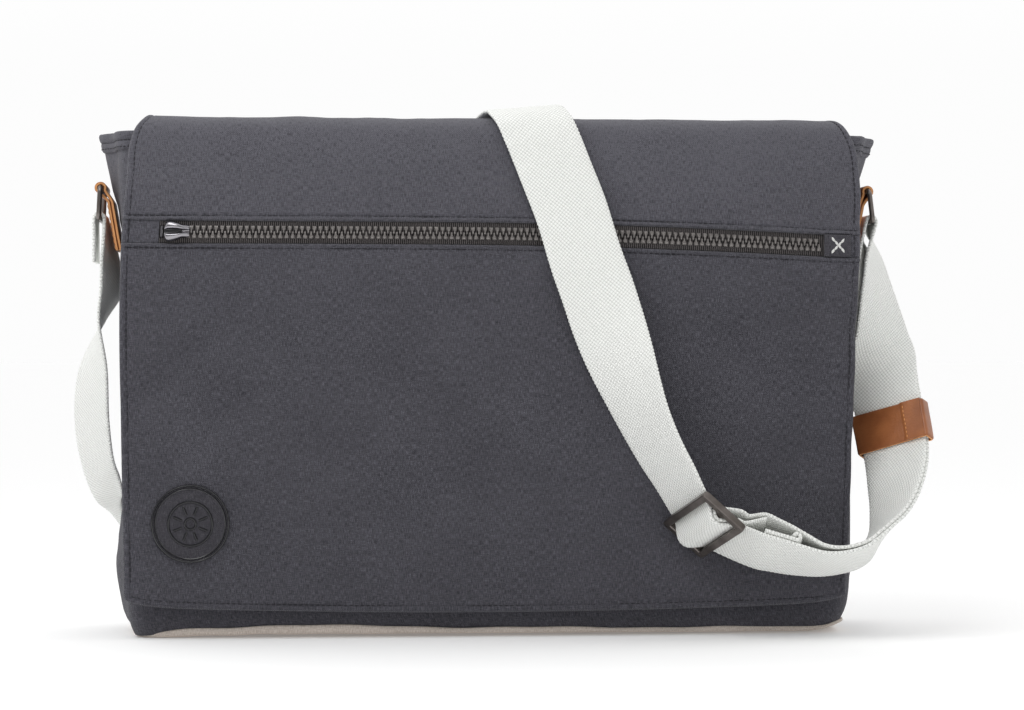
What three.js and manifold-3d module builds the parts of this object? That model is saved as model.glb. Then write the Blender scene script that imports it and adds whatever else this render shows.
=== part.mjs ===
// Laptop case: a canvas messenger bag with a zipped flap, a cream base and a webbing shoulder strap.
// Millimetres, +Z up, front towards -Y, origin at the middle of the flat base.

import * as THREE from 'three';
import { mergeVertices } from 'three/addons/utils/BufferGeometryUtils.js';
import Module from 'manifold-3d';

const wasm = await Module();
wasm.setup();

// Body of the bag
const bagHeight = 275;
const bodyHalfWidth = 200;
const bodyHalfDepth = 44;
const cornerRadius = 12;
const frontBulge = 2;
const clothWall = 2;
const seamGap = 0.3;

// Cream base with its upturned edge
const baseWall = 2;
const baseEdge = 5.6;
const baseWave = 0.4;
const baseWaves = 9;
const trayGap = 0.6;

// Stitched band round the open top
const hemBand = 10;
const hemWall = 1.2;
const hemGap = 0.4;

// Flap
const flapWall = 3;
const flapSlack = 8.5;
const flapOverhang = 3;
const flapShift = 2.2;
const flapHem = 13.5;
const hemLift = 4;
const hemCornerLift = 4;
const hemCornerPower = 24;
const edgeFall = 2.6;
const edgeFallPower = 6;
const foldDepth = 2.2;
const puckerDepth = 0.9;
const puckerPitch = 31;
const creaseSpread = 10;

// Zip
const zipDrop = 58.8;
const zipFall = 6.4;
const zipMargin = 20.3;
const zipShift = -0.4;
const zipBow = 2.6;
const zipBowLean = 1.3;
const windowHeight = 12.3;
const windowDepth = 1.6;
const lipHeight = 7;
const lipRise = 0.7;
const lipEdge = 1.5;
const tapeWall = 0.6;
const chainWidth = 7;
const chainRise = 1.1;
const toothPitch = 3.3;
const toothRelief = 0.5;
const sliderLength = 13.3;
const sliderWidth = 10.9;
const sliderHeight = 3.4;
const stopLength = 2.4;
const endTabLength = 15;
const endTabHeight = 12;
const endTabWall = 1.4;

// Badge
const badgeRadius = 21;
const badgeInset = 37;
const badgeRise = 49;
const badgeWall = 1.2;
const badgeRing = 0.7;

// Strap, rings and leather
const webWidth = 40;
const webWall = 2;
const webGap = 0.4;
const ringWire = 2.8;
const ringHeight = 19.5;
const ringSlack = 1.6;
const ringDrop = 29;
const tailLength = 24;
const leatherWall = 1.6;
const tabMargin = 2;
const tabLength = 34;
const tabWrap = 0.45;
const tabNeck = 3;
const slideBar = 4;
const slideSlack = 1;
const slideHeight = 29;
const slideCorner = 4;
const slideBevel = 1;
const keeperLength = 24;
const keeperWall = 1.4;
const pairGap = 1.1;
const faceGap = 0.6;
const strapStep = 12;

// Sizes that follow from the ones above
const flapHalfDepth = bodyHalfDepth + frontBulge + flapSlack + flapWall;
const flapHalfWidth = bodyHalfWidth + flapOverhang;
const zipHeight = bagHeight - zipDrop;
const zipHalfLength = flapHalfWidth - zipMargin;
const zipLeft = zipShift - zipHalfLength;
const zipRight = zipShift + zipHalfLength;
const zipSlope = -zipFall / (2 * zipHalfLength);
const badgeX = badgeInset - flapHalfWidth;
const badgeZ = flapHem + badgeRise;
const ringTop = bagHeight - ringDrop;
const ringRadius = ringWire / 2;
const ringPitch = ringHeight - ringWire;
const tabWidth = webWidth - tabMargin;
const slideLength = webWidth + 2 * (slideBar + slideSlack);

// How finely the round and long forms are cut
const arcSteps = 3;
const frontSteps = 10;
const sideSteps = 6;
const windowSteps = 13;
const topSteps = 12;
const lowSteps = 12;
const badgeSides = 28;
const ringSides = 8;
const loopSteps = 6;
const wrapSteps = 9;
const tabSteps = 4;
const restSteps = 2;
const barSteps = 5;
const bellySteps = 22;
const keeperCuts = 5;
const legSteps = 8;

// Tables: each row is turned into an object with the named columns
function table(columns, rows) {
  return rows.map((row) => Object.fromEntries(columns.map((name, k) => [name, row[k]])));
}

// Smooth reading of every column of a table at one value of its key column
function readTable(rows, key, value) {
  const last = rows.length - 1;
  const at = THREE.MathUtils.clamp(value, rows[0][key], rows[last][key]);
  let k = 0;
  while (k < last - 1 && rows[k + 1][key] < at) k += 1;
  const a = rows[k];
  const b = rows[k + 1];
  const before = rows[Math.max(k - 1, 0)];
  const after = rows[Math.min(k + 2, last)];
  const span = b[key] - a[key];
  const f = (at - a[key]) / span;
  const result = {};
  for (const name of Object.keys(a)) {
    const startSlope = (b[name] - before[name]) / (b[key] - before[key]) * span;
    const endSlope = (after[name] - a[name]) / (after[key] - a[key]) * span;
    const h = [2 * f ** 3 - 3 * f ** 2 + 1, f ** 3 - 2 * f ** 2 + f, 3 * f ** 2 - 2 * f ** 3, f ** 3 - f ** 2];
    result[name] = h[0] * a[name] + h[1] * startSlope + h[2] * b[name] + h[3] * endSlope;
  }
  return result;
}

// Body sections from the base to the rim: shares of the half width and half depth, how far the middle
// of each side stands out and how far the section leans to the right, as shares of the half width
const bodyRows = table(['up', 'width', 'depth', 'bow', 'sway'], [
  [0.00, 0.978, 0.960, 0.000, 0.000],
  [0.03, 0.986, 0.990, 0.018, 0.000],
  [0.08, 0.994, 1.000, 0.026, 0.000],
  [0.15, 0.998, 1.010, 0.028, 0.000],
  [0.30, 0.998, 1.010, 0.010, 0.000],
  [0.50, 0.990, 0.960, -0.010, 0.000],
  [0.70, 0.995, 0.880, -0.004, 0.000],
  [0.79, 1.006, 0.830, 0.008, 0.001],
  [0.88, 1.020, 0.770, 0.018, 0.003],
  [0.94, 1.026, 0.735, 0.036, 0.007],
  [1.00, 1.036, 0.700, 0.046, 0.012],
]);

// Flap section from the hem on the back, over the top and down to the front hem: shares of the flap's
// half depth and of the bag's height, and of the flap's half width on each side
const flapRows = table(['step', 'depth', 'up', 'left', 'right'], [
  [0, 0.810, 0.782, 0.930, 0.930],
  [1, 0.800, 0.860, 0.928, 0.928],
  [2, 0.780, 0.925, 0.924, 0.924],
  [3, 0.740, 0.984, 0.922, 0.922],
  [4, 0.600, 1.018, 0.922, 0.922],
  [5, 0.310, 1.030, 0.922, 0.924],
  [6, 0.000, 1.032, 0.924, 0.928],
  [7, -0.300, 1.032, 0.930, 0.934],
  [8, -0.580, 1.026, 0.943, 0.946],
  [9, -0.750, 1.005, 0.967, 0.961],
  [10, -0.830, 0.963, 0.982, 0.980],
  [11, -0.870, 0.915, 0.986, 0.987],
  [12, -0.930, 0.830, 0.996, 0.985],
  [13, -0.965, 0.730, 1.003, 0.980],
  [14, -0.985, 0.585, 1.005, 0.970],
  [15, -1.000, 0.400, 1.000, 0.960],
  [16, -1.000, 0.220, 0.996, 0.950],
  [17, -0.970, 0.110, 0.994, 0.944],
  [18, -0.935, 0.030, 0.992, 0.942],
]);
const backHemStep = 0;
const apexStep = 6;
const frontStep = 10;
const lastStep = 18;

// Soft creases in the flap's front: ends as shares of the flap's half width and the bag's height,
// spread as a share of the crease spread and depth as a share of the fold depth
const creaseRows = table(['fromX', 'fromUp', 'toX', 'toUp', 'spread', 'depth'], [
  [-0.68, 0.64, -0.96, 0.47, 0.9, 0.90],
  [-0.65, 0.49, -0.92, 0.29, 0.8, 0.65],
  [-0.40, 0.62, -0.58, 0.44, 1.4, 0.40],
  [0.78, 0.71, 0.97, 0.61, 0.8, 0.80],
  [0.62, 0.59, 0.91, 0.31, 0.9, 0.80],
  [0.80, 0.50, 0.97, 0.40, 1.2, 0.60],
  [0.30, 0.30, 0.62, 0.16, 1.6, 0.45],
  [-0.30, 0.24, 0.10, 0.17, 1.8, 0.35],
]);

// Lengths below this count as nothing
const tiny = 1e-4;

// Closed solid from faces, turned right side out
function closedMesh(points, faces) {
  const position = [];
  let volume = 0;
  for (const [a, b, c] of faces) {
    const [p, q, r] = [points[a], points[b], points[c]];
    if (Math.min(p.distanceTo(q), q.distanceTo(r), r.distanceTo(p)) < tiny) continue;
    volume += p.dot(new THREE.Vector3().crossVectors(q, r));
    position.push(p, q, r);
  }
  if (volume < 0) position.reverse();
  const geometry = new THREE.BufferGeometry().setFromPoints(position);
  geometry.computeVertexNormals();
  return geometry;
}

// Wall between two grids of points of the same size; across closes the grid round its second index,
// along closes it round its first
function wall(outer, inner, closed = { along: false, across: false }) {
  const rows = outer.length;
  const columns = outer[0].length;
  const points = [...outer.flat(), ...inner.flat()];
  const shift = rows * columns;
  const faces = [];
  const quad = (a, b, c, d) => faces.push([a, b, c], [a, c, d]);
  const at = (i, j) => (i % rows) * columns + (j % columns);
  const rowSteps = closed.along ? rows : rows - 1;
  const columnSteps = closed.across ? columns : columns - 1;
  for (let i = 0; i < rowSteps; i += 1) {
    for (let j = 0; j < columnSteps; j += 1) {
      const corners = [at(i, j), at(i + 1, j), at(i + 1, j + 1), at(i, j + 1)];
      const [p, q, r, s] = corners.map((k) => points[k]);
      if (q.distanceTo(s) < p.distanceTo(r)) corners.push(corners.shift());
      const [a, b, c, d] = corners;
      quad(a, b, c, d);
      quad(a + shift, d + shift, c + shift, b + shift);
    }
    if (!closed.across) {
      quad(at(i + 1, 0), at(i, 0), at(i, 0) + shift, at(i + 1, 0) + shift);
      const j = columns - 1;
      quad(at(i, j), at(i + 1, j), at(i + 1, j) + shift, at(i, j) + shift);
    }
  }
  if (!closed.along) {
    for (let j = 0; j < columnSteps; j += 1) {
      quad(at(0, j), at(0, j + 1), at(0, j + 1) + shift, at(0, j) + shift);
      const i = rows - 1;
      quad(at(i, j + 1), at(i, j), at(i, j) + shift, at(i, j + 1) + shift);
    }
  }
  return closedMesh(points, faces);
}

// Skin over a grid that is closed round its section; the ends are closed by fans unless it is a loop
function skin(grid, loop = false) {
  const rows = grid.length;
  const sides = grid[0].length;
  const points = grid.flat();
  const faces = [];
  for (let i = 0; i < (loop ? rows : rows - 1); i += 1) {
    for (let j = 0; j < sides; j += 1) {
      const a = i * sides + j;
      const b = ((i + 1) % rows) * sides + j;
      const c = ((i + 1) % rows) * sides + (j + 1) % sides;
      const d = i * sides + (j + 1) % sides;
      faces.push([a, b, c], [a, c, d]);
    }
  }
  if (!loop) {
    for (let j = 1; j < sides - 1; j += 1) {
      const end = (rows - 1) * sides;
      faces.push([0, j, j + 1], [end, end + j + 1, end + j]);
    }
  }
  return closedMesh(points, faces);
}

// Joining and cutting of closed solids
function toSolid(geometry) {
  const bare = geometry.clone();
  bare.deleteAttribute('normal');
  bare.deleteAttribute('uv');
  const merged = mergeVertices(bare, tiny);
  return new wasm.Manifold(new wasm.Mesh({
    numProp: 3,
    vertProperties: Float32Array.from(merged.attributes.position.array),
    triVerts: Uint32Array.from(merged.index.array),
  }));
}

function fromSolid(solid) {
  const mesh = solid.getMesh();
  const geometry = new THREE.BufferGeometry();
  geometry.setAttribute('position', new THREE.BufferAttribute(mesh.vertProperties, 3));
  geometry.setIndex(new THREE.BufferAttribute(mesh.triVerts, 1));
  geometry.computeVertexNormals();
  return geometry;
}

// Row of evenly spaced values
function spread(from, to, steps) {
  return Array.from({ length: steps + 1 }, (unused, k) => THREE.MathUtils.lerp(from, to, k / steps));
}

// Body of the bag
function bodySize(z) {
  const row = readTable(bodyRows, 'up', z / bagHeight);
  return { width: row.width * bodyHalfWidth, depth: row.depth * bodyHalfDepth, bow: row.bow * bodyHalfWidth };
}

const swayAt = (z) => readTable(bodyRows, 'up', z / bagHeight).sway * bodyHalfWidth;

// Outline of the front wall with its two rounded corners at one height, moved in by an inset
function frontOutline(z, inset) {
  const { width, depth } = bodySize(z);
  const radius = cornerRadius - inset;
  const outline = [];
  for (const turn of spread(Math.PI, 1.5 * Math.PI, arcSteps)) {
    const x = -width + cornerRadius + radius * Math.cos(turn);
    outline.push([x, -depth + cornerRadius + radius * Math.sin(turn)]);
  }
  const reach = width - cornerRadius;
  const straight = spread(-reach, reach, frontSteps).slice(1, -1);
  for (const x of straight) {
    outline.push([x, -depth + inset - frontBulge * Math.cos(Math.PI * x / (2 * reach))]);
  }
  for (const turn of spread(1.5 * Math.PI, 2 * Math.PI, arcSteps)) {
    const x = width - cornerRadius + radius * Math.cos(turn);
    outline.push([x, -depth + cornerRadius + radius * Math.sin(turn)]);
  }
  return outline;
}

// Outline of a side wall at one height, between the corner seams
function sideOutline(z, inset) {
  const { width, depth, bow } = bodySize(z);
  const reach = depth - cornerRadius - seamGap;
  const bulge = (y) => bow * Math.cos(Math.PI * y / (2 * reach)) ** 2;
  return spread(-reach, reach, sideSteps).map((y) => [width - inset + bulge(y), y]);
}

const wallBottom = baseWall + seamGap;
const wallMiddle = bodyRows.slice(2, -2).map((row) => row.up * bagHeight);
const levelHeights = [wallBottom, baseEdge + baseWall, ...wallMiddle, bagHeight - hemBand, bagHeight];

function wallPanel(outline, place) {
  const grid = (inset) => levelHeights.map((z) => outline(z, inset).map(([x, y]) => place(x, y, z)));
  return wall(grid(0), grid(clothWall));
}

function frontPanel() {
  return wallPanel(frontOutline, (x, y, z) => new THREE.Vector3(x + swayAt(z), y, z));
}

function backPanel() {
  return wallPanel(frontOutline, (x, y, z) => new THREE.Vector3(x + swayAt(z), -y, z));
}

function gusset(side) {
  return wallPanel(sideOutline, (x, y, z) => new THREE.Vector3(side * x + swayAt(z), y, z));
}

// Whole outline round the body at one height, moved out by an offset
function loopOutline(z, offset) {
  const front = frontOutline(z, -offset);
  const side = sideOutline(z, -offset).slice(1, -1);
  const back = front.map(([x, y]) => [-x, -y]);
  const outline = [...front, ...side, ...back, ...side.map(([x, y]) => [-x, -y])];
  return outline.map(([x, y]) => [x + swayAt(z), y]);
}

// Base: a shallow tray that the walls stand in
function basePanel() {
  const outerOffset = trayGap + baseWall;
  const lift = (z, k, count) => z + baseWave * Math.sin(2 * Math.PI * baseWaves * k / count);
  const level = (z, offset, wave) => {
    const outline = loopOutline(z, offset);
    const count = outline.length;
    return outline.map(([x, y], k) => new THREE.Vector3(x, y, wave ? lift(z, k, count) : z));
  };
  const round = baseWall / 2;
  const outer = skin([
    level(0, outerOffset - round, false),
    level(round, outerOffset, false),
    level(baseEdge, outerOffset, true),
  ]);
  const hollow = skin([baseWall, wallBottom, baseEdge + baseWall].map((z) => level(z, trayGap, false)));
  return fromSolid(toSolid(outer).subtract(toSolid(hollow)));
}

// Band round the open top, outside the walls
function rimHem() {
  const levels = [bagHeight - hemBand, bagHeight];
  const level = (z, offset) => loopOutline(z, offset).map(([x, y]) => new THREE.Vector3(x, y, z));
  const grid = (offset) => levels.map((z) => level(z, offset));
  return wall(grid(hemGap + hemWall), grid(hemGap), { along: false, across: true });
}

// Flap surface
function segmentDistance(x, z, row) {
  const [ax, az] = [row.fromX * flapHalfWidth, row.fromUp * bagHeight];
  const [bx, bz] = [row.toX * flapHalfWidth, row.toUp * bagHeight];
  const length = (bx - ax) ** 2 + (bz - az) ** 2;
  const f = THREE.MathUtils.clamp(((x - ax) * (bx - ax) + (z - az) * (bz - az)) / length, 0, 1);
  return Math.hypot(x - ax - f * (bx - ax), z - az - f * (bz - az));
}

function creaseAt(x, z) {
  let depth = 0;
  for (const row of creaseRows) {
    const away = segmentDistance(x, z, row) / (row.spread * creaseSpread);
    depth += row.depth * foldDepth * Math.exp(-(away ** 2));
  }
  const edge = THREE.MathUtils.smoothstep(x / flapHalfWidth, 0.8, 1);
  return depth + puckerDepth * edge * Math.sin(2 * Math.PI * z / puckerPitch);
}

// Point of the flap at a share across, a step of its section and a distance out of its outer face
function flapPoint(share, step, out = 0) {
  const row = readTable(flapRows, 'step', step);
  const nudge = 0.01;
  const ahead = readTable(flapRows, 'step', Math.min(step + nudge, lastStep));
  const behind = readTable(flapRows, 'step', Math.max(step - nudge, backHemStep));
  const along = new THREE.Vector2(ahead.depth - behind.depth, ahead.up - behind.up);
  along.multiply(new THREE.Vector2(flapHalfDepth, bagHeight)).normalize();
  const x = share * (share < 0 ? row.left : row.right) * flapHalfWidth;
  const z = row.up * bagHeight;
  const front = THREE.MathUtils.smoothstep(step, apexStep + 2, frontStep + 1);
  const sink = front * (edgeFall * Math.abs(share) ** edgeFallPower + creaseAt(x, z));
  const push = out - sink;
  return new THREE.Vector3(x + flapShift, row.depth * flapHalfDepth + push * along.y, z - push * along.x);
}

// Step of the section at which the front of the flap is at a height
const halvings = 40;
function stepAt(z) {
  let low = apexStep;
  let high = lastStep;
  for (let k = 0; k < halvings; k += 1) {
    const middle = (low + high) / 2;
    if (readTable(flapRows, 'step', middle).up * bagHeight > z) low = middle;
    else high = middle;
  }
  return low;
}

// Point on the flap's front at a place across and up, and a distance out of its face
function onFlap(x, z, out) {
  const step = stepAt(z);
  const row = readTable(flapRows, 'step', step);
  return flapPoint(x / ((x < 0 ? row.left : row.right) * flapHalfWidth), step, out);
}

function zipLine(x) {
  const along = THREE.MathUtils.clamp((x - zipLeft) / (zipRight - zipLeft), 0, 1);
  return zipHeight + zipSlope * x + zipBow * Math.sin(Math.PI * along ** zipBowLean);
}

const windowSharp = seamGap / 2;
const windowPlaces = spread(zipLeft + windowSharp, zipRight - windowSharp, windowSteps);

const edgeShares = [0.935, 0.97, 1];
const crownShares = [0.4, 0.8];

function flap() {
  const left = zipLeft / flapHalfWidth;
  const right = zipRight / flapHalfWidth;
  const middle = windowPlaces.map((x) => x / flapHalfWidth);
  const shares = [...edgeShares.map((share) => -share).reverse(), left, ...middle, right, ...edgeShares];
  const half = windowHeight / 2;
  const rim = (x) => {
    const share = Math.abs(x / flapHalfWidth);
    return flapHem + hemLift * share ** 2 + hemCornerLift * share ** hemCornerPower;
  };
  const rows = [];
  for (const step of spread(backHemStep, frontStep, topSteps)) {
    rows.push({ step: () => step, out: 0, recess: false });
  }
  const startHeight = readTable(flapRows, 'step', frontStep).up * bagHeight;
  const lipTop = (x) => zipLine(x) + half + lipHeight;
  for (const f of crownShares) {
    rows.push({ step: (x) => stepAt(THREE.MathUtils.lerp(startHeight, lipTop(x), f)), out: 0, recess: false });
  }
  const bands = table(['offset', 'out', 'recess'], [
    [half + lipHeight, 0, false],
    [half + lipHeight - lipEdge, lipRise, false],
    [half, lipRise, false],
    [half - windowSharp, lipRise, true],
    [-half + windowSharp, lipRise, true],
    [-half, lipRise, false],
    [-half - lipHeight + lipEdge, lipRise, false],
    [-half - lipHeight, 0, false],
  ]);
  for (const band of bands) {
    rows.push({ step: (x) => stepAt(zipLine(x) + band.offset), out: band.out, recess: band.recess });
  }
  const lowTop = (x) => zipLine(x) - half - lipHeight;
  for (const f of spread(0, 1, lowSteps).slice(1)) {
    rows.push({ step: (x) => stepAt(THREE.MathUtils.lerp(lowTop(x), rim(x), f)), out: 0, recess: false });
  }
  const grid = (inner) => rows.map((row) => shares.map((share) => {
    const inWindow = row.recess && share > left && share < right;
    const face = inWindow ? -windowDepth : row.out;
    return flapPoint(share, row.step(share * flapHalfWidth), inner ? -flapWall : face);
  }));
  return wall(grid(false), grid(true));
}

// Point of the flap at a place along the zip, an offset up from its middle line and a distance out
const onZip = (x, offset, out) => flapPoint(x / flapHalfWidth, stepAt(zipLine(x) + offset), out);

// Strip of thin material along the zip between two distances out of the flap's face
function zipStrip(xs, offsets, low, high) {
  const grid = (out) => xs.map((x, i) => offsets.map((offset) => onZip(x, offset, out(i))));
  return wall(grid(high), grid(low));
}

const tapeTop = tapeWall + seamGap - windowDepth;

function zipTape() {
  const half = windowHeight / 2 - seamGap;
  const xs = [zipLeft + seamGap, ...windowPlaces.slice(1, -1), zipRight - seamGap];
  return zipStrip(xs, [-half, half], () => seamGap - windowDepth, () => tapeTop);
}

function zipTeeth() {
  const start = zipLeft + stopLength + seamGap;
  const end = zipRight - 2 * seamGap;
  const steps = 2 * Math.round((end - start) / toothPitch);
  const half = chainWidth / 2;
  const foot = tapeTop + seamGap;
  const relief = (i) => foot + chainRise + (i % 2) * toothRelief;
  return zipStrip(spread(start, end, steps), [-half, half], () => foot, relief);
}

// Slider: half widths and heights along its length, as shares
const sliderRows = table(['along', 'width', 'height'], [
  [0.00, 0.62, 0.45],
  [0.08, 0.92, 0.70],
  [0.25, 1.00, 0.95],
  [0.50, 0.86, 1.00],
  [0.72, 0.66, 0.85],
  [0.92, 0.62, 0.60],
  [1.00, 0.58, 0.40],
]);
const sliderSection = table(['share', 'height'], [
  [-1, 0.35], [-0.8, 0.6], [-0.25, 0.68], [0, 1], [0.25, 0.68], [0.8, 0.6], [1, 0.35],
]);
const sliderStart = zipLeft + stopLength + 2 * seamGap;
const sliderFoot = tapeTop + 2 * seamGap + chainRise + toothRelief;

function zipSlider() {
  const grid = (top) => sliderRows.map((row) => sliderSection.map((point) => {
    const x = sliderStart + row.along * sliderLength;
    const offset = point.share * row.width * sliderWidth / 2;
    const height = top ? row.height * point.height * sliderHeight : 0;
    return onZip(x, offset, sliderFoot + height);
  }));
  return wall(grid(true), grid(false));
}

function zipStop() {
  const xs = [zipLeft + 2 * seamGap, zipLeft + stopLength];
  const half = chainWidth / 2;
  const foot = tapeTop + seamGap;
  return zipStrip(xs, [-half, half], () => foot, () => foot + chainRise + toothRelief);
}

function zipEndTab() {
  const xs = spread(zipRight - seamGap, zipRight - seamGap + endTabLength, tabSteps);
  const half = endTabHeight / 2;
  const foot = lipRise + 2 * seamGap;
  return zipStrip(xs, [-half, half], () => foot, () => foot + endTabWall);
}

// Badge: heights along its radius, as shares, with two raised rings
const badgeRows = table(['radius', 'raised'], [
  [0.00, 0], [0.80, 0], [0.83, 1], [0.87, 1], [0.90, 0], [0.95, 0], [0.97, 1], [1.00, 0.6],
]);

function badge() {
  const turns = spread(0, 2 * Math.PI, badgeSides).slice(0, -1);
  const grid = (top) => badgeRows.map((row) => turns.map((turn) => {
    const radius = row.radius * badgeRadius;
    const out = top ? badgeWall + row.raised * badgeRing : 0;
    return onFlap(badgeX + radius * Math.cos(turn), badgeZ + radius * Math.sin(turn), seamGap + out);
  }));
  return wall(grid(true), grid(false), { along: false, across: true });
}

// Direction in which a run of frames goes on at one of them
function frameTangent(frames, k) {
  const here = frames[k].middle;
  const ahead = frames[Math.min(k + 1, frames.length - 1)].middle.clone().sub(here).normalize();
  const behind = here.clone().sub(frames[Math.max(k - 1, 0)].middle).normalize();
  return ahead.add(behind).normalize();
}

// Ribbon: a flat band that follows frames, each with its middle and the direction of its width
function ribbon(frames, width, thickness) {
  const rails = [[], []];
  frames.forEach((frame, k) => {
    const along = frameTangent(frames, k);
    const normal = new THREE.Vector3().crossVectors(along, frame.across).normalize();
    [thickness / 2, -thickness / 2].forEach((lift, face) => {
      rails[face].push([-width / 2, width / 2].map((reach) => frame.middle.clone()
        .addScaledVector(frame.across, reach).addScaledVector(normal, lift)));
    });
  });
  return wall(rails[0], rails[1]);
}

function frameAt(x, y, z, across) {
  return { middle: new THREE.Vector3(x, y, z), across: across.clone().normalize() };
}

const depthways = new THREE.Vector3(0, 1, 0);

// Rings: the middle of the top bar and of the bottom bar on each side
const ringRows = table(['side', 'top', 'bottom'], [
  [-1, 1.068, 1.072],
  [1, 1.064, 1.074],
]);

function ringPlaces(side) {
  const row = ringRows.find((entry) => entry.side === side);
  const top = new THREE.Vector3(side * row.top * bodyHalfWidth, 0, ringTop - ringRadius);
  const bottom = new THREE.Vector3(side * row.bottom * bodyHalfWidth, 0, ringTop - ringRadius - ringPitch);
  return { top, bottom };
}

function ring(side) {
  const { top, bottom } = ringPlaces(side);
  const middle = top.clone().lerp(bottom, 0.5);
  const up = top.clone().sub(bottom).normalize();
  const normal = new THREE.Vector3().crossVectors(up, depthways).normalize();
  const halfLength = webWidth / 2 + ringSlack + ringRadius;
  const halfHeight = top.distanceTo(bottom) / 2;
  const bend = ringWire;
  const path = [];
  const corners = [[1, 1, 0], [-1, 1, 1], [-1, -1, 2], [1, -1, 3]];
  for (const [y, z, quarter] of corners) {
    for (const turn of spread(quarter * Math.PI / 2, (quarter + 1) * Math.PI / 2, arcSteps)) {
      const out = depthways.clone().multiplyScalar(Math.cos(turn)).addScaledVector(up, Math.sin(turn));
      const centre = middle.clone().addScaledVector(depthways, y * (halfLength - bend))
        .addScaledVector(up, z * (halfHeight - bend)).addScaledVector(out, bend);
      path.push({ centre, out });
    }
  }
  const turns = spread(0, 2 * Math.PI, ringSides).slice(0, -1);
  const grid = path.map(({ centre, out }) => turns.map((turn) => centre.clone()
    .addScaledVector(out, ringRadius * Math.cos(turn)).addScaledVector(normal, ringRadius * Math.sin(turn))));
  return skin(grid, true);
}

// Leather tab: two plies against the side wall, folded over the ring's top bar
function leatherTab(side) {
  const { top } = ringPlaces(side);
  const bendRadius = ringRadius + seamGap + leatherWall / 2;
  const low = top.z - tabLength;
  const heights = spread(low, top.z - tabNeck * bendRadius, tabSteps);
  const inner = heights.map((z) => {
    const { width, bow } = bodySize(z);
    return swayAt(z) + side * (width + Math.max(bow, 0) + 2 * seamGap + leatherWall / 2);
  });
  const ply = leatherWall + seamGap;
  const frames = [];
  heights.forEach((z, k) => frames.push(frameAt(inner[k], 0, z, depthways)));
  for (const turn of spread(-tabWrap, Math.PI + tabWrap, wrapSteps)) {
    const x = top.x - side * bendRadius * Math.cos(turn);
    frames.push(frameAt(x, 0, top.z + bendRadius * Math.sin(turn), depthways));
  }
  [...heights].reverse().forEach((z, k) => {
    const x = inner[heights.length - 1 - k] + side * ply;
    frames.push(frameAt(x, 0, z, depthways));
  });
  return ribbon(frames, tabWidth, leatherWall);
}

// Slide buckle: its own frame, with its length across the strap and its short side along it
const slidePlace = strapFrame({ x: 0.541, y: -1.412, up: 0.225, wx: 0, wy: 1, wz: 0 }).middle;
const slideAlong = new THREE.Vector3(0.744, 0, -0.668).normalize();
const slideUp = new THREE.Vector3().crossVectors(new THREE.Vector3(0.345, -0.88, 0.33), slideAlong).normalize();
const slideAcross = new THREE.Vector3().crossVectors(slideAlong, slideUp).normalize();

function onSlide(along, up) {
  return slidePlace.clone().addScaledVector(slideAlong, along).addScaledVector(slideUp, up);
}

function slideBuckle() {
  const outline = (Form, halfLength, halfHeight, radius, centre) => {
    const form = new Form();
    const corners = [[1, -1, -0.5], [1, 1, 0], [-1, 1, 0.5], [-1, -1, 1]];
    for (const [x, y, turn] of corners) {
      const cx = x * (halfLength - radius);
      const cy = centre + y * (halfHeight - radius);
      form.absarc(cx, cy, radius, turn * Math.PI, (turn + 0.5) * Math.PI, false);
    }
    form.closePath();
    return form;
  };
  const shape = outline(THREE.Shape, slideLength / 2 - slideBevel, slideHeight / 2 - slideBevel, slideCorner - slideBevel, 0);
  const slotHeight = (slideHeight - 3 * slideBar) / 2;
  for (const side of [-1, 1]) {
    const centre = side * (slideBar + slotHeight) / 2;
    const halfLength = slideLength / 2 - slideBar + slideBevel;
    shape.holes.push(outline(THREE.Path, halfLength, slotHeight / 2 + slideBevel, 2 * slideBevel, centre));
  }
  const geometry = new THREE.ExtrudeGeometry(shape, {
    depth: slideBar - 2 * slideBevel,
    bevelThickness: slideBevel,
    bevelSize: slideBevel,
    bevelSegments: 1,
    curveSegments: arcSteps,
  });
  geometry.translate(0, 0, slideBevel - slideBar / 2);
  const turned = new THREE.Matrix4().makeBasis(slideAcross, slideAlong, slideUp);
  turned.setPosition(slidePlace);
  geometry.applyMatrix4(turned);
  return geometry;
}

// Strap: shares of the body's half width, the flap's half depth and the bag's height for its middle,
// and the direction of its width
const strapColumns = ['x', 'y', 'up', 'wx', 'wy', 'wz'];
const leftRows = table(strapColumns, [
  [-1.062, 0.000, 0.785, 0.10, 1, 0],
  [-1.057, 0.010, 0.742, 0.20, 0.98, 0],
  [-1.0535, 0.020, 0.690, 0.26, 0.965, 0],
  [-1.083, 0.035, 0.625, 0.02, 1, 0],
  [-1.107, 0.130, 0.527, -0.42, 0.90, 0],
  [-1.113, 0.305, 0.418, -0.51, 0.86, -0.05],
  [-1.095, 0.425, 0.327, -0.45, 0.87, -0.20],
  [-1.071, 0.500, 0.281, -0.36, 0.86, -0.36],
  [-1.048, 0.626, 0.251, -0.22, 0.93, -0.30],
  [-1.030, 0.783, 0.226, 0.00, 0.85, -0.52],
  [-0.990, 0.948, 0.211, 0.05, 0.50, -0.86],
  [-0.920, 0.990, 0.207, 0.05, 0.20, -0.98],
  [-0.840, 0.957, 0.213, 0.12, 0.05, -0.98],
  [-0.660, 0.920, 0.243, 0.36, 0, -0.93],
  [-0.460, 0.890, 0.315, 0.60, 0, -0.80],
  [-0.300, 0.880, 0.420, 0.74, 0, -0.67],
  [-0.165, 0.875, 0.545, 0.85, 0, -0.53],
  [-0.050, 0.870, 0.690, 0.88, 0, -0.47],
]);
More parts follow.
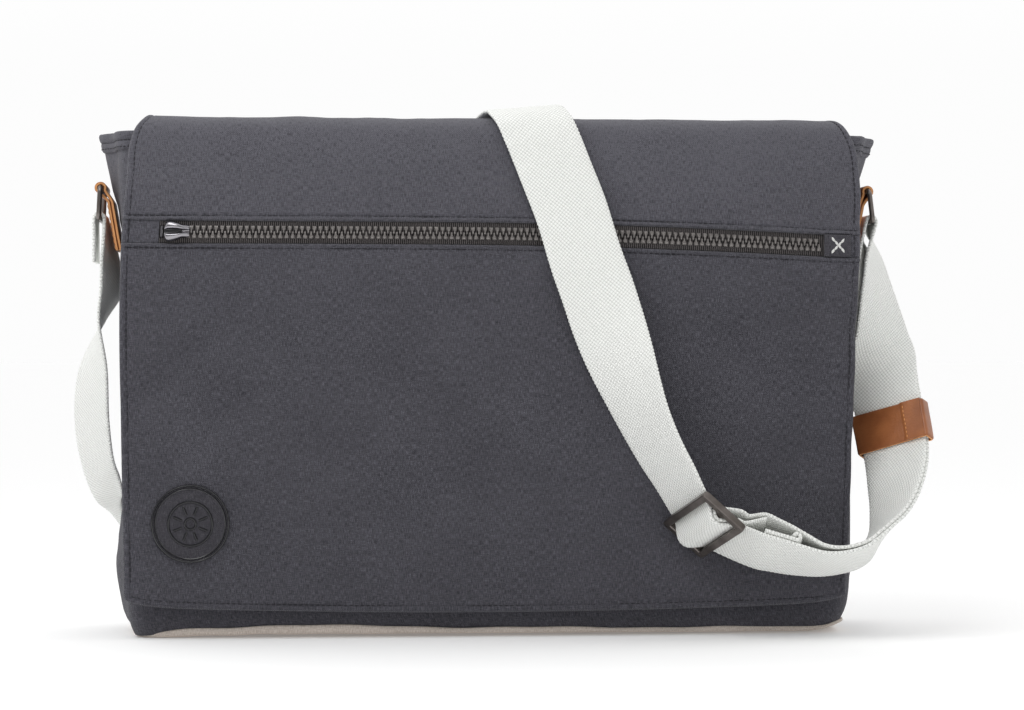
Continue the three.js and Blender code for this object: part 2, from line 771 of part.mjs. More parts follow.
const slopeRows = table(strapColumns, [
  [0.235, -1.061, 0.745, 0.93, 0, 0.36],
  [0.264, -1.096, 0.684, 0.93, -0.07, 0.37],
  [0.292, -1.148, 0.618, 0.90, -0.24, 0.38],
  [0.320, -1.217, 0.556, 0.80, -0.45, 0.40],
  [0.350, -1.278, 0.495, 0.65, -0.65, 0.41],
  [0.385, -1.330, 0.429, 0.50, -0.77, 0.39],
  [0.425, -1.374, 0.367, 0.42, -0.83, 0.37],
  [0.465, -1.400, 0.316, 0.37, -0.86, 0.35],
]);

// Lower layer of the belly and the inner leg, with the gap to the upper layer at each edge, as a
// share of the webbing's width
const bellyRows = table(['step', ...strapColumns, 'nearGap', 'farGap'], [
  [0, 0.690, -1.430, 0.174, 0.00, -0.85, 0.50, 0.36, 0.30],
  [1, 0.772, -1.430, 0.160, -0.08, -0.87, 0.48, 0.28, 0.30],
  [2, 0.875, -1.430, 0.148, -0.11, -0.91, 0.37, 0.10, 0.28],
  [3, 0.975, -1.400, 0.162, -0.15, -0.93, 0.33, 0.07, 0.24],
  [4, 1.032, -1.320, 0.198, -0.05, -0.96, 0.27, 0.07, 0.14],
  [5, 1.073, -1.175, 0.251, 0.30, -0.93, 0.15, 0.07, 0.09],
  [6, 1.097, -1.000, 0.313, 0.60, -0.75, 0.23, 0.07, 0.07],
  [7, 1.106, -0.800, 0.367, 0.73, -0.63, 0.27, 0.06, 0.06],
  [8, 1.100, -0.600, 0.440, 0.77, -0.58, 0.26, 0.06, 0.06],
  [9, 1.087, -0.435, 0.509, 0.91, -0.34, 0.20, 0.07, 0.07],
  [10, 1.085, -0.296, 0.585, 0.88, 0.46, 0.05, 0.09, 0.09],
  [11, 1.076, -0.174, 0.669, 0.66, 0.75, 0.00, 0.10, 0.10],
  [12, 1.064, -0.052, 0.755, 0.40, 0.92, 0.00, 0.12, 0.12],
]);
const bellyLast = 12;
const keeperStep = 7.55;

function strapFrame(row) {
  const across = new THREE.Vector3(row.wx, row.wy, row.wz);
  return frameAt(row.x * bodyHalfWidth + flapShift, row.y * flapHalfDepth, row.up * bagHeight, across);
}

// Frames over the top of the flap: how fast they go across, their height over it as a share of the
// crossing lift, and how far the right edge is raised
const crossingRows = table(['step', 'lean', 'lift', 'tilt'], [
  [1.2, 0.52, 0.85, 0],
  [2.1, 0.46, 0.85, 0],
  [3.0, 0.36, 0.90, 0],
  [3.8, 0.22, 1.00, 0],
  [4.6, 0.10, 1.10, 0.02],
  [5.4, 0.04, 1.20, 0.04],
  [6.2, 0.03, 1.35, 0.06],
  [7.0, 0.04, 1.50, 0.08],
  [7.8, 0.14, 1.60, 0.09],
  [8.6, 0.36, 1.45, 0.08],
  [9.3, 0.40, 1.20, 0.06],
  [10.1, 0.37, 1.00, 0.03],
  [11.0, 0.37, 1.00, 0],
  [11.9, 0.37, 1.00, 0],
]);
const strapTopX = 0.113;
const crossingLift = 2.8;
const foldStep = 9.3;
const stepNudge = 0.05;

function crossingFrames() {
  const place = (row, x, nudge = 0) => {
    const { left, right } = readTable(flapRows, 'step', row.step + nudge);
    const lift = webWall / 2 + row.lift * crossingLift;
    return flapPoint(x / ((x < 0 ? left : right) * flapHalfWidth), row.step + nudge, lift);
  };
  const middles = crossingRows.map((row) => place(row, 0));
  const reaches = [0];
  crossingRows.slice(1).forEach((row, k) => {
    const lean = (row.lean + crossingRows[k].lean) / 2;
    reaches.push(reaches[k] + lean * middles[k + 1].distanceTo(middles[k]));
  });
  const foldReach = reaches[crossingRows.findIndex((row) => row.step === foldStep)];
  return crossingRows.map((row, k) => {
    const x = strapTopX * bodyHalfWidth + reaches[k] - foldReach;
    const middle = place(row, x);
    const normal = flapPoint(0, row.step, 1).sub(flapPoint(0, row.step, 0)).normalize();
    const along = place(row, x, stepNudge).sub(middle).normalize();
    along.x = row.lean;
    const across = new THREE.Vector3().crossVectors(normal, along.normalize()).normalize();
    return { middle, across: across.addScaledVector(normal, row.tilt).normalize() };
  });
}

// Arc of frames round a bar seen along it, from one angle to another
function barArc(place, radius, from, to, steps, across) {
  const middles = spread(from, to, steps).map((turn) => place(radius * Math.cos(turn), radius * Math.sin(turn)));
  return middles.map((middle) => ({ middle, across }));
}

// Steps of the belly's table at which the keeper begins and ends
function keeperSteps() {
  const speed = bellyPoint(keeperStep + 0.5).distanceTo(bellyPoint(keeperStep - 0.5));
  const half = keeperLength / (2 * speed);
  return { from: keeperStep - half, to: keeperStep + half };
}

const bellyPoint = (step) => strapFrame(readTable(bellyRows, 'step', step)).middle;

// Frames of the lower layer, with stations at both ends of the keeper
function bellyFrames() {
  const { from, to } = keeperSteps();
  const steps = [
    ...spread(0, from, bellySteps),
    ...spread(from, to, keeperCuts).slice(1),
    ...spread(to, bellyLast, legSteps).slice(1),
  ];
  return steps.map((step) => {
    const row = readTable(bellyRows, 'step', step);
    return { ...strapFrame(row), step, nearGap: row.nearGap * webWidth, farGap: row.farGap * webWidth };
  });
}

// Upper layer: each edge stands off the lower layer by its gap
function upperFrames(lower) {
  return lower.map((frame, k) => {
    const normal = new THREE.Vector3().crossVectors(frame.across, frameTangent(lower, k)).normalize();
    const edge = (reach, gap) => frame.middle.clone()
      .addScaledVector(frame.across, reach).addScaledVector(normal, gap);
    const near = edge(webWidth / 2, frame.nearGap);
    const far = edge(-webWidth / 2, frame.farGap);
    return { middle: near.clone().lerp(far, 0.5), across: near.clone().sub(far).normalize(), normal };
  });
}

function strapFrames() {
  const barRadius = slideBar / 2;
  const close = barRadius + webGap + webWall / 2;
  const layer = webWall + webGap;
  const pitch = (slideHeight - slideBar) / 2;
  const onSlideBar = (bar) => (along, up) => onSlide(bar * pitch + along, up);
  const rest = Math.asin((2 * close + layer) / pitch);
  const quarter = Math.PI / 2;

  const leftBar = ringPlaces(-1).bottom;
  const rightBar = ringPlaces(1).bottom;
  const ringClose = ringRadius + webGap + webWall / 2;
  const onRing = (bar) => (x, z) => new THREE.Vector3(bar.x + x, 0, bar.z + z);

  const tailX = leftBar.x - ringClose;
  const tail = [1, 0.5].map((share) => frameAt(tailX, 0, leftBar.z - share * tailLength, depthways));
  const leftLoop = barArc(onRing(leftBar), ringClose, Math.PI, 0, loopSteps, depthways);
  const rightLoop = barArc(onRing(rightBar), ringClose, Math.PI, 0, loopSteps, depthways);

  const mainIn = barArc(onSlideBar(-1), close, quarter, quarter - rest, restSteps, slideAcross);
  const mainOver = barArc(onSlideBar(0), close + layer, -quarter - rest, -quarter + rest, barSteps, slideAcross);
  const mainOut = barArc(onSlideBar(1), close, quarter + rest, quarter, restSteps, slideAcross);

  const lowerLayer = bellyFrames();
  const upper = upperFrames(lowerLayer);
  const back = [...upper].reverse();

  const upperIn = barArc(onSlideBar(1), close + 2 * layer, quarter, quarter + rest / 2, restSteps, slideAcross);
  const hook = barArc(onSlideBar(0), close, quarter + rest / 2, 3 * quarter + rest, barSteps, slideAcross);
  const tailOut = barArc(onSlideBar(1), close + layer, quarter + rest, quarter, restSteps, slideAcross);

  const before = [
    ...tail, ...leftLoop, ...leftRows.map(strapFrame), ...crossingFrames(), ...slopeRows.map(strapFrame),
    ...mainIn, ...mainOver, ...mainOut,
  ];
  const after = [...upperIn, ...hook, ...tailOut];
  return [...smoothFrames(before, strapStep), ...lowerLayer, ...rightLoop, ...back, ...after];
}

// Frames between the chosen ones, closer where the strap is long between two of them
function smoothFrames(frames, step) {
  const path = new THREE.CatmullRomCurve3(frames.map((frame) => frame.middle), false, 'centripetal');
  const count = frames.length - 1;
  const result = [];
  for (let k = 0; k < count; k += 1) {
    const length = frames[k].middle.distanceTo(frames[k + 1].middle);
    const parts = Math.max(1, Math.round(length / step));
    for (const f of spread(0, 1, parts).slice(0, -1)) {
      const t = (k + f) / count;
      const across = frames[k].across.clone().lerp(frames[k + 1].across, f).normalize();
      result.push({ middle: path.getPoint(t), across });
    }
  }
  result.push(frames[count]);
  return result;
}

function strap() {
  return ribbon(strapFrames(), webWidth, webWall);
}

// Leather keeper round the two layers of the strap
function leatherKeeper() {
  const { from, to } = keeperSteps();
  const lower = bellyFrames();
  const upper = upperFrames(lower);
  const corner = keeperWall / 2;
  const inside = ({ step }) => step > from - tiny && step < to + tiny;
  const stations = lower.map((frame, k) => k).filter((k) => inside(lower[k]));
  const grid = (outset) => stations.map((k) => {
    const { middle, across } = lower[k];
    const { normal } = upper[k];
    const gap = upper[k].middle.clone().sub(middle).dot(normal);
    const side = webWidth / 2 + pairGap + outset;
    const low = -webWall / 2 - faceGap - outset;
    const high = gap + webWall / 2 + faceGap + outset;
    const section = [
      [side, high - corner], [side - corner, high], [corner - side, high], [-side, high - corner],
      [-side, low + corner], [corner - side, low], [side - corner, low], [side, low + corner],
    ];
    return section.map(([a, b]) => middle.clone().addScaledVector(across, a).addScaledVector(normal, b));
  });
  return wall(grid(keeperWall), grid(0), { along: false, across: true });
}

// Materials
function finish(color, roughness, metalness) {
  return new THREE.MeshStandardMaterial({ color, roughness, metalness });
}

const canvas = finish(0x4c5159, 0.95, 0);
const cream = finish(0xcbc3b2, 0.95, 0);
const webbing = finish(0xe6e8e2, 0.95, 0);
const tan = finish(0xb87338, 0.55, 0);
const gunmetal = finish(0x4e4842, 0.35, 1);
const zipCloth = finish(0x2b2624, 0.8, 0);
const zipPlastic = finish(0x3a322c, 0.35, 0.3);
const nickel = finish(0x15161a, 0.2, 1);
const print = finish(0x17181b, 0.4, 0);

const pieces = [
  ['front_panel', frontPanel(), canvas],
  ['back_panel', backPanel(), canvas],
  ['gusset_left', gusset(-1), canvas],
  ['gusset_right', gusset(1), canvas],
  ['base_panel', basePanel(), cream],
  ['rim_hem', rimHem(), canvas],
  ['flap', flap(), canvas],
  ['zip_tape', zipTape(), zipCloth],
  ['zip_teeth', zipTeeth(), zipPlastic],
  ['zip_slider', zipSlider(), nickel],
  ['zip_stop', zipStop(), nickel],
  ['zip_end_tab', zipEndTab(), canvas],
  ['badge', badge(), print],
  ['leather_tab_left', leatherTab(-1), tan],
  ['leather_tab_right', leatherTab(1), tan],
  ['ring_left', ring(-1), gunmetal],
  ['ring_right', ring(1), gunmetal],
  ['strap', strap(), webbing],
  ['slide_buckle', slideBuckle(), gunmetal],
  ['leather_keeper', leatherKeeper(), tan],
];

const group = new THREE.Group();
for (const [name, geometry, material] of pieces) {
  const mesh = new THREE.Mesh(geometry, material);
  mesh.name = name;
  group.add(mesh);
}

export default group;
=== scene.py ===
# Laptop case: the looks of a canvas messenger bag, in metres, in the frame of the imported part.
# Front towards -Y, +Z up, origin at the middle of the flat base.

import math

import bpy
import numpy as np
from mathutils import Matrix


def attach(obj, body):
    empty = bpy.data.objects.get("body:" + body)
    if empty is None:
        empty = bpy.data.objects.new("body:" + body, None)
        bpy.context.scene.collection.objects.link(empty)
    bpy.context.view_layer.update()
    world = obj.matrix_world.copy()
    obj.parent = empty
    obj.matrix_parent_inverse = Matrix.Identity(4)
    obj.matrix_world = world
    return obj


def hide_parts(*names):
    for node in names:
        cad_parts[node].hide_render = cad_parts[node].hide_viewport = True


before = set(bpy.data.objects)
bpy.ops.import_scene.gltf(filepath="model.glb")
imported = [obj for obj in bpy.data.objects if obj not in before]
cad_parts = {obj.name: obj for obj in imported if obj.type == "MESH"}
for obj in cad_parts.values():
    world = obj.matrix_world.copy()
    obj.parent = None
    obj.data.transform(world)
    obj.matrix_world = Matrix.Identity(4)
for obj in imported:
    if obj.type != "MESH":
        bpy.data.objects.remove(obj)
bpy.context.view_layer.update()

MM = 0.001
X, Y, Z = np.eye(3)

# Camera: a little from the bag's left, level, at the height of the flap's middle
view_turn = math.radians(-5.0)
view_distance = 1.6
view_height = 0.153
view_aim = 0.0142
view_lens = 100.3

camera_data = bpy.data.cameras.new("camera")
camera_data.lens = view_lens
camera = bpy.data.objects.new("camera", camera_data)
bpy.context.collection.objects.link(camera)
ahead = np.array([-math.sin(view_turn), math.cos(view_turn), 0.0])
aside = np.array([math.cos(view_turn), math.sin(view_turn), 0.0])
camera.location = view_aim * aside - view_distance * ahead + view_height * Z
camera.rotation_euler = (math.pi / 2, 0, view_turn)
bpy.context.scene.camera = camera
bpy.context.scene.view_settings.view_transform = "Standard"

# Body of the bag
bag_height = 275 * MM
body_half_width = 200 * MM
body_half_depth = 44 * MM
corner_radius = 12 * MM
front_bulge = 2 * MM
cloth_wall = 2 * MM
seam_gap = 0.3 * MM
base_wall = 2 * MM
base_edge = 5.6 * MM
base_wave = 0.4 * MM
base_waves = 9
hem_band = 10 * MM

# Flap
flap_wall = 3 * MM
flap_slack = 8.5 * MM
flap_overhang = 3 * MM
flap_shift = 2.2 * MM
flap_hem = 13.5 * MM
hem_lift = 4 * MM
hem_corner_lift = 4 * MM
hem_stitch = 3.7 * MM
edge_fall = 2.6 * MM
fold_depth = 2.9 * MM
crease_spread = 10 * MM
pucker_depth = 0.9 * MM
pucker_pitch = 31 * MM
flap_half_depth = body_half_depth + front_bulge + flap_slack + flap_wall
flap_half_width = body_half_width + flap_overhang

# Zip
zip_drop = 58.8 * MM
zip_fall = 6.4 * MM
zip_margin = 20.3 * MM
zip_shift = -0.4 * MM
zip_bow = 2.6 * MM
zip_bow_lean = 1.3
window_height = 12.3 * MM
window_depth = 1.6 * MM
lip_height = 7 * MM
lip_rise = 0.7 * MM
tape_wall = 0.6 * MM
chain_width = 7 * MM
chain_rise = 1.1 * MM
tooth_pitch = 3.3 * MM
tooth_relief = 0.5 * MM
slider_length = 13.3 * MM
slider_width = 10.9 * MM
slider_height = 3.4 * MM
stop_length = 2.4 * MM
end_tab_length = 15 * MM
end_tab_height = 12 * MM
end_tab_wall = 1.4 * MM
zip_height = bag_height - zip_drop
zip_half_length = flap_half_width - zip_margin
zip_left = zip_shift - zip_half_length
zip_right = zip_shift + zip_half_length
zip_slope = -zip_fall / (2 * zip_half_length)
tape_top = tape_wall + seam_gap - window_depth

# Badge
badge_radius = 21 * MM
badge_x = 37 * MM - flap_half_width
badge_z = flap_hem + 49 * MM
badge_wall = 1.2 * MM
badge_ring = 0.7 * MM
badge_cord = 0.72 * MM

# Strap, rings and leather
web_width = 40 * MM
web_wall = 2 * MM
web_gap = 0.4 * MM
ring_wire = 2.8 * MM
ring_radius = ring_wire / 2
ring_height = 19.5 * MM
ring_slack = 1.6 * MM
ring_top = bag_height - 29 * MM
tail_length = 24 * MM
leather_wall = 1.6 * MM
tab_width = web_width - 2 * MM
tab_length = 34 * MM
tab_wrap = 0.45
slide_bar = 4 * MM
slide_length = web_width + 2 * (slide_bar + 1 * MM)
slide_height = 29 * MM
keeper_length = 24 * MM
keeper_wall = 1.4 * MM
pair_gap = 1.1 * MM
face_gap = 0.6 * MM
strap_top_x = 0.113
crossing_lift = 2.8 * MM


def table(columns, rows):
    """Rows of a table as one array for each named column"""
    return dict(zip(columns, np.array(rows, float).T))


body_rows = table(["up", "width", "depth", "bow", "sway"], [
    [0, 0.978, 0.96, 0, 0],
    [0.03, 0.986, 0.99, 0.018, 0],
    [0.08, 0.994, 1, 0.026, 0],
    [0.15, 0.998, 1.01, 0.028, 0],
    [0.3, 0.998, 1.01, 0.01, 0],
    [0.5, 0.99, 0.96, -0.01, 0],
    [0.7, 0.995, 0.88, -0.004, 0],
    [0.79, 1.006, 0.83, 0.008, 0.001],
    [0.88, 1.02, 0.77, 0.018, 0.003],
    [0.94, 1.026, 0.735, 0.036, 0.007],
    [1, 1.036, 0.7, 0.046, 0.012],
])

flap_rows = table(["step", "depth", "up", "left", "right"], [
    [0, 0.81, 0.782, 0.93, 0.93],
    [1, 0.8, 0.86, 0.928, 0.928],
    [2, 0.78, 0.925, 0.924, 0.924],
    [3, 0.74, 0.984, 0.922, 0.922],
    [4, 0.6, 1.018, 0.922, 0.922],
    [5, 0.31, 1.03, 0.922, 0.924],
    [6, 0, 1.032, 0.924, 0.928],
    [7, -0.3, 1.032, 0.93, 0.934],
    [8, -0.58, 1.026, 0.943, 0.946],
    [9, -0.75, 1.005, 0.967, 0.961],
    [10, -0.83, 0.963, 0.982, 0.98],
    [11, -0.87, 0.915, 0.986, 0.987],
    [12, -0.93, 0.83, 0.996, 0.985],
    [13, -0.965, 0.73, 1.003, 0.98],
    [14, -0.985, 0.585, 1.005, 0.97],
    [15, -1, 0.4, 1, 0.96],
    [16, -1, 0.22, 0.996, 0.95],
    [17, -0.97, 0.11, 0.994, 0.944],
    [18, -0.935, 0.03, 0.992, 0.942],
])
apex_step, front_step, last_step = 6, 10, 18

crease_rows = table(["from_x", "from_up", "to_x", "to_up", "spread", "depth"], [
    [-0.68, 0.64, -0.96, 0.47, 0.9, 0.9],
    [-0.65, 0.49, -0.92, 0.29, 0.8, 0.65],
    [-0.4, 0.62, -0.58, 0.44, 1.4, 0.4],
    [0.78, 0.71, 0.97, 0.61, 0.8, 0.8],
    [0.62, 0.59, 0.91, 0.31, 0.9, 0.8],
    [0.8, 0.5, 0.97, 0.4, 1.2, 0.6],
    [0.3, 0.3, 0.62, 0.16, 1.6, 0.45],
    [-0.3, 0.24, 0.1, 0.17, 1.8, 0.35],
])

strap_columns = ["x", "y", "up", "wx", "wy", "wz"]
left_rows = table(strap_columns, [
    [-1.062, 0, 0.785, 0.1, 1, 0],
    [-1.057, 0.01, 0.742, 0.2, 0.98, 0],
    [-1.0535, 0.02, 0.69, 0.26, 0.965, 0],
    [-1.083, 0.035, 0.625, 0.02, 1, 0],
    [-1.107, 0.13, 0.527, -0.42, 0.9, 0],
    [-1.113, 0.305, 0.418, -0.51, 0.86, -0.05],
    [-1.095, 0.425, 0.327, -0.45, 0.87, -0.2],
    [-1.071, 0.5, 0.281, -0.36, 0.86, -0.36],
    [-1.048, 0.626, 0.251, -0.22, 0.93, -0.3],
    [-1.03, 0.783, 0.226, 0, 0.85, -0.52],
    [-0.99, 0.948, 0.211, 0.05, 0.5, -0.86],
    [-0.92, 0.99, 0.207, 0.05, 0.2, -0.98],
    [-0.84, 0.957, 0.213, 0.12, 0.05, -0.98],
    [-0.66, 0.92, 0.243, 0.36, 0, -0.93],
    [-0.46, 0.89, 0.315, 0.6, 0, -0.8],
    [-0.3, 0.88, 0.42, 0.74, 0, -0.67],
    [-0.165, 0.875, 0.545, 0.85, 0, -0.53],
    [-0.05, 0.87, 0.69, 0.88, 0, -0.47],
])
slope_rows = table(strap_columns, [
    [0.235, -1.061, 0.745, 0.93, 0, 0.36],
    [0.264, -1.096, 0.684, 0.93, -0.07, 0.37],
    [0.292, -1.148, 0.618, 0.9, -0.24, 0.38],
    [0.32, -1.217, 0.556, 0.8, -0.45, 0.4],
    [0.35, -1.278, 0.495, 0.65, -0.65, 0.41],
    [0.385, -1.33, 0.429, 0.5, -0.77, 0.39],
    [0.425, -1.374, 0.367, 0.42, -0.83, 0.37],
    [0.465, -1.4, 0.316, 0.37, -0.86, 0.35],
])
belly_rows = table(["step", *strap_columns, "near_gap", "far_gap"], [
    [0, 0.69, -1.43, 0.174, 0, -0.85, 0.5, 0.31, 0.3],
    [1, 0.772, -1.43, 0.16, -0.08, -0.87, 0.48, 0.23, 0.3],
    [2, 0.875, -1.43, 0.148, -0.11, -0.91, 0.37, 0.09, 0.28],
    [3, 0.975, -1.4, 0.162, -0.15, -0.93, 0.33, 0.055, 0.24],
    [4, 1.032, -1.32, 0.198, -0.05, -0.96, 0.27, 0.05, 0.14],
    [5, 1.073, -1.175, 0.251, 0.3, -0.93, 0.15, 0.05, 0.09],
    [6, 1.097, -1, 0.313, 0.6, -0.75, 0.23, 0.055, 0.07],
    [7, 1.106, -0.8, 0.367, 0.73, -0.63, 0.27, 0.06, 0.06],
    [8, 1.1, -0.6, 0.44, 0.77, -0.58, 0.26, 0.06, 0.06],
    [9, 1.087, -0.435, 0.509, 0.91, -0.34, 0.2, 0.07, 0.07],
    [10, 1.085, -0.296, 0.585, 0.88, 0.46, 0.05, 0.09, 0.09],
    [11, 1.076, -0.174, 0.669, 0.66, 0.75, 0, 0.1, 0.1],
    [12, 1.064, -0.052, 0.755, 0.4, 0.92, 0, 0.12, 0.12],
])
belly_last, keeper_step = 12, 7.55
crossing_rows = table(["step", "lean", "lift", "tilt"], [
    [1.2, 0.52, 0.85, 0],
    [2.1, 0.46, 0.85, 0],
    [3, 0.36, 0.9, 0],
    [3.8, 0.22, 1, 0],
    [4.6, 0.1, 1.1, 0.02],
    [5.4, 0.04, 1.2, 0.04],
    [6.2, 0.03, 1.35, 0.06],
    [7, 0.04, 1.5, 0.08],
    [7.8, 0.14, 1.6, 0.09],
    [8.6, 0.36, 1.45, 0.08],
    [9.3, 0.4, 1.2, 0.06],
    [10.1, 0.37, 1, 0.03],
    [11, 0.37, 1, 0],
    [11.9, 0.37, 1, 0],
])
fold_step = 9.3


def read_table(rows, key, value):
    """Smooth reading of every column at values of the key column"""
    keys = rows[key]
    last = len(keys) - 1
    at = np.clip(np.asarray(value, float), keys[0], keys[-1])
    k = np.clip(np.searchsorted(keys, at) - 1, 0, last - 1)
    before, after = np.maximum(k - 1, 0), np.minimum(k + 2, last)
    span = keys[k + 1] - keys[k]
    f = (at - keys[k]) / span
    result = {}
    for name, column in rows.items():
        start = (column[k + 1] - column[before]) / (keys[k + 1] - keys[before]) * span
        end = (column[after] - column[k]) / (keys[after] - keys[k]) * span
        result[name] = (
            (2 * f**3 - 3 * f**2 + 1) * column[k]
            + (f**3 - 2 * f**2 + f) * start
            + (3 * f**2 - 2 * f**3) * column[k + 1]
            + (f**3 - f**2) * end
        )
    return result


def smoothstep(value, low, high):
    f = np.clip((value - low) / (high - low), 0, 1)
    return f * f * (3 - 2 * f)


def unit(vectors):
    return vectors / np.maximum(np.linalg.norm(vectors, axis=-1, keepdims=True), 1e-12)


def lengths_along(points):
    """Distance along a run of points to each of them"""
    return np.concatenate([[0], np.cumsum(np.linalg.norm(np.diff(points, axis=0), axis=1))])


def tangents(points):
    """Direction of a run of points at each of them"""
    step = unit(np.diff(points, axis=0))
    zero = np.zeros((1, 3))
    return unit(np.concatenate([step, zero]) + np.concatenate([zero, step]))


def pairs(a, b):
    """Weave coordinates over a grid from its two directions"""
    return np.stack(np.broadcast_arrays(a, b), -1)


# Uneven cloth: a fixed mix of long ripples in many directions
ripple_count = 26
ripple_rng = np.random.default_rng(11)
ripple_turn = ripple_rng.uniform(0, math.pi, ripple_count)
ripple_pitch = ripple_rng.uniform(14, 70, ripple_count) * MM
ripple_phase = ripple_rng.uniform(0, 2 * math.pi, ripple_count)


def ripples(a, b, depth):
    """Gentle unevenness over a cloth at places a and b on it"""
    total = np.zeros(np.broadcast(a, b).shape)
    for turn, pitch, phase in zip(ripple_turn, ripple_pitch, ripple_phase):
        wave = (a * math.cos(turn) + b * math.sin(turn)) / pitch
        total += pitch * np.sin(2 * math.pi * wave + phase + 1.7 * np.sin(3.1 * wave + phase))
    return depth * total / (ripple_pitch.mean() * math.sqrt(ripple_count))


# Meshes: a part is a tuple of points, faces of four corners, weave coordinates and a material's number
def quads(rows, columns, loop_rows=False, loop_columns=False):
    i = np.arange(rows if loop_rows else rows - 1)
    j = np.arange(columns if loop_columns else columns - 1)
    i, j = (grid.ravel() for grid in np.meshgrid(i, j, indexing="ij"))
    below, beside = (i + 1) % rows, (j + 1) % columns
    return np.stack([i * columns + j, below * columns + j, below * columns + beside, i * columns + beside], 1)


def wall_part(outer, inner, weave=None, loop=False):
    """Closed wall between two grids of points; loop closes it round its second index"""
    rows, columns = outer.shape[:2]
    face = quads(rows, columns, False, loop)
    shift = rows * columns
    faces = [face, face[:, ::-1] + shift]
    i, j = np.arange(rows - 1), np.arange(columns if loop else columns - 1)
    beside = (j + 1) % columns
    if not loop:
        for column, turned in ((0, False), (columns - 1, True)):
            a, b = i * columns + column, (i + 1) * columns + column
            rim = np.stack([b, a, a + shift, b + shift], 1)
            faces.append(rim[:, ::-1] if turned else rim)
    for row, turned in ((0, False), (rows - 1, True)):
        a, b = row * columns + j, row * columns + beside
        rim = np.stack([a, b, b + shift, a + shift], 1)
        faces.append(rim[:, ::-1] if turned else rim)
    points = np.concatenate([outer.reshape(-1, 3), inner.reshape(-1, 3)])
    weave = np.zeros((rows, columns, 2)) if weave is None else weave
    return points, np.concatenate(faces), np.tile(weave.reshape(-1, 2), (2, 1)), 0


def cap(sides):
    """Faces over an even ring"""
    i = np.arange(sides // 2 - 1)
    return np.stack([i, i + 1, sides - 2 - i, sides - 1 - i], 1)


def tube_part(grid, weave=None, loop=False, number=0):
    """Closed skin over rings of points; without loop its two ends are capped"""
    rows, sides = grid.shape[:2]
    faces = [quads(rows, sides, loop, True)]
    if not loop:
        faces += [cap(sides)[:, ::-1], cap(sides) + (rows - 1) * sides]
    weave = np.zeros((rows, sides, 2)) if weave is None else weave
    return grid.reshape(-1, 3), np.concatenate(faces), weave.reshape(-1, 2), number


def scatter_part(form, places, bases, number=0):
    """Copies of one small form, each at its place, with its three directions as rows of a basis"""
    points, faces = form[0], form[1]
    count = len(places)
    moved = places[:, None] + np.einsum("vk,nkc->nvc", points, bases)
    shifted = faces[None] + (np.arange(count) * len(points))[:, None, None]
    weave = np.tile(form[2], (count, 1))
    return moved.reshape(-1, 3), shifted.reshape(-1, 4), weave, number


def outward(points, faces):
    """The same faces, turned to face out where they close a volume inside out"""
    a, b, c, d = (points[faces[:, k]] for k in range(4))
    volume = np.einsum("ij,ij->", a, np.cross(b, c)) + np.einsum("ij,ij->", a, np.cross(c, d))
    return faces[:, ::-1] if volume < 0 else faces


def split_part(part, chosen):
    """A part as two, with the faces that chosen picks in the second material"""
    points, faces, weave, _ = part
    faces = outward(points, faces)
    second = chosen(faces)
    return [(points, faces[~second], weave, 0), (points, faces[second], weave, 1)]


def rim_faces(count):
    """Picks the faces that join two grids of count points"""
    return lambda faces: (faces < count).any(1) & (faces >= count).any(1)


def make_piece(name, parts, materials, nodes=(), sharp=40.0):
    """Piece of the bag from its parts, riding on the body and standing for the CAD's nodes"""
    points, faces, weave, numbers = [], [], [], []
    shift = 0
    for part_points, part_faces, part_weave, number in parts:
        points.append(part_points)
        faces.append(outward(part_points, part_faces) + shift)
        weave.append(part_weave)
        numbers.append(np.full(len(part_faces), number))
        shift += len(part_points)
    points, faces, weave = np.concatenate(points), np.concatenate(faces), np.concatenate(weave)
    mesh = bpy.data.meshes.new(name)
    mesh.from_pydata(points.tolist(), [], faces.tolist())
    layer = mesh.uv_layers.new(name="weave")
    corners = np.empty(len(mesh.loops), int)
    mesh.loops.foreach_get("vertex_index", corners)
    layer.data.foreach_set("uv", weave[corners].ravel())
    mesh.polygons.foreach_set("material_index", np.concatenate(numbers))
    mesh.shade_smooth()
    mesh.set_sharp_from_angle(angle=math.radians(sharp))
    for material in materials:
        mesh.materials.append(material)
    piece = bpy.data.objects.new(name, mesh)
    bpy.context.collection.objects.link(piece)
    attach(piece, "root")
    if nodes:
        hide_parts(*nodes)
    return piece


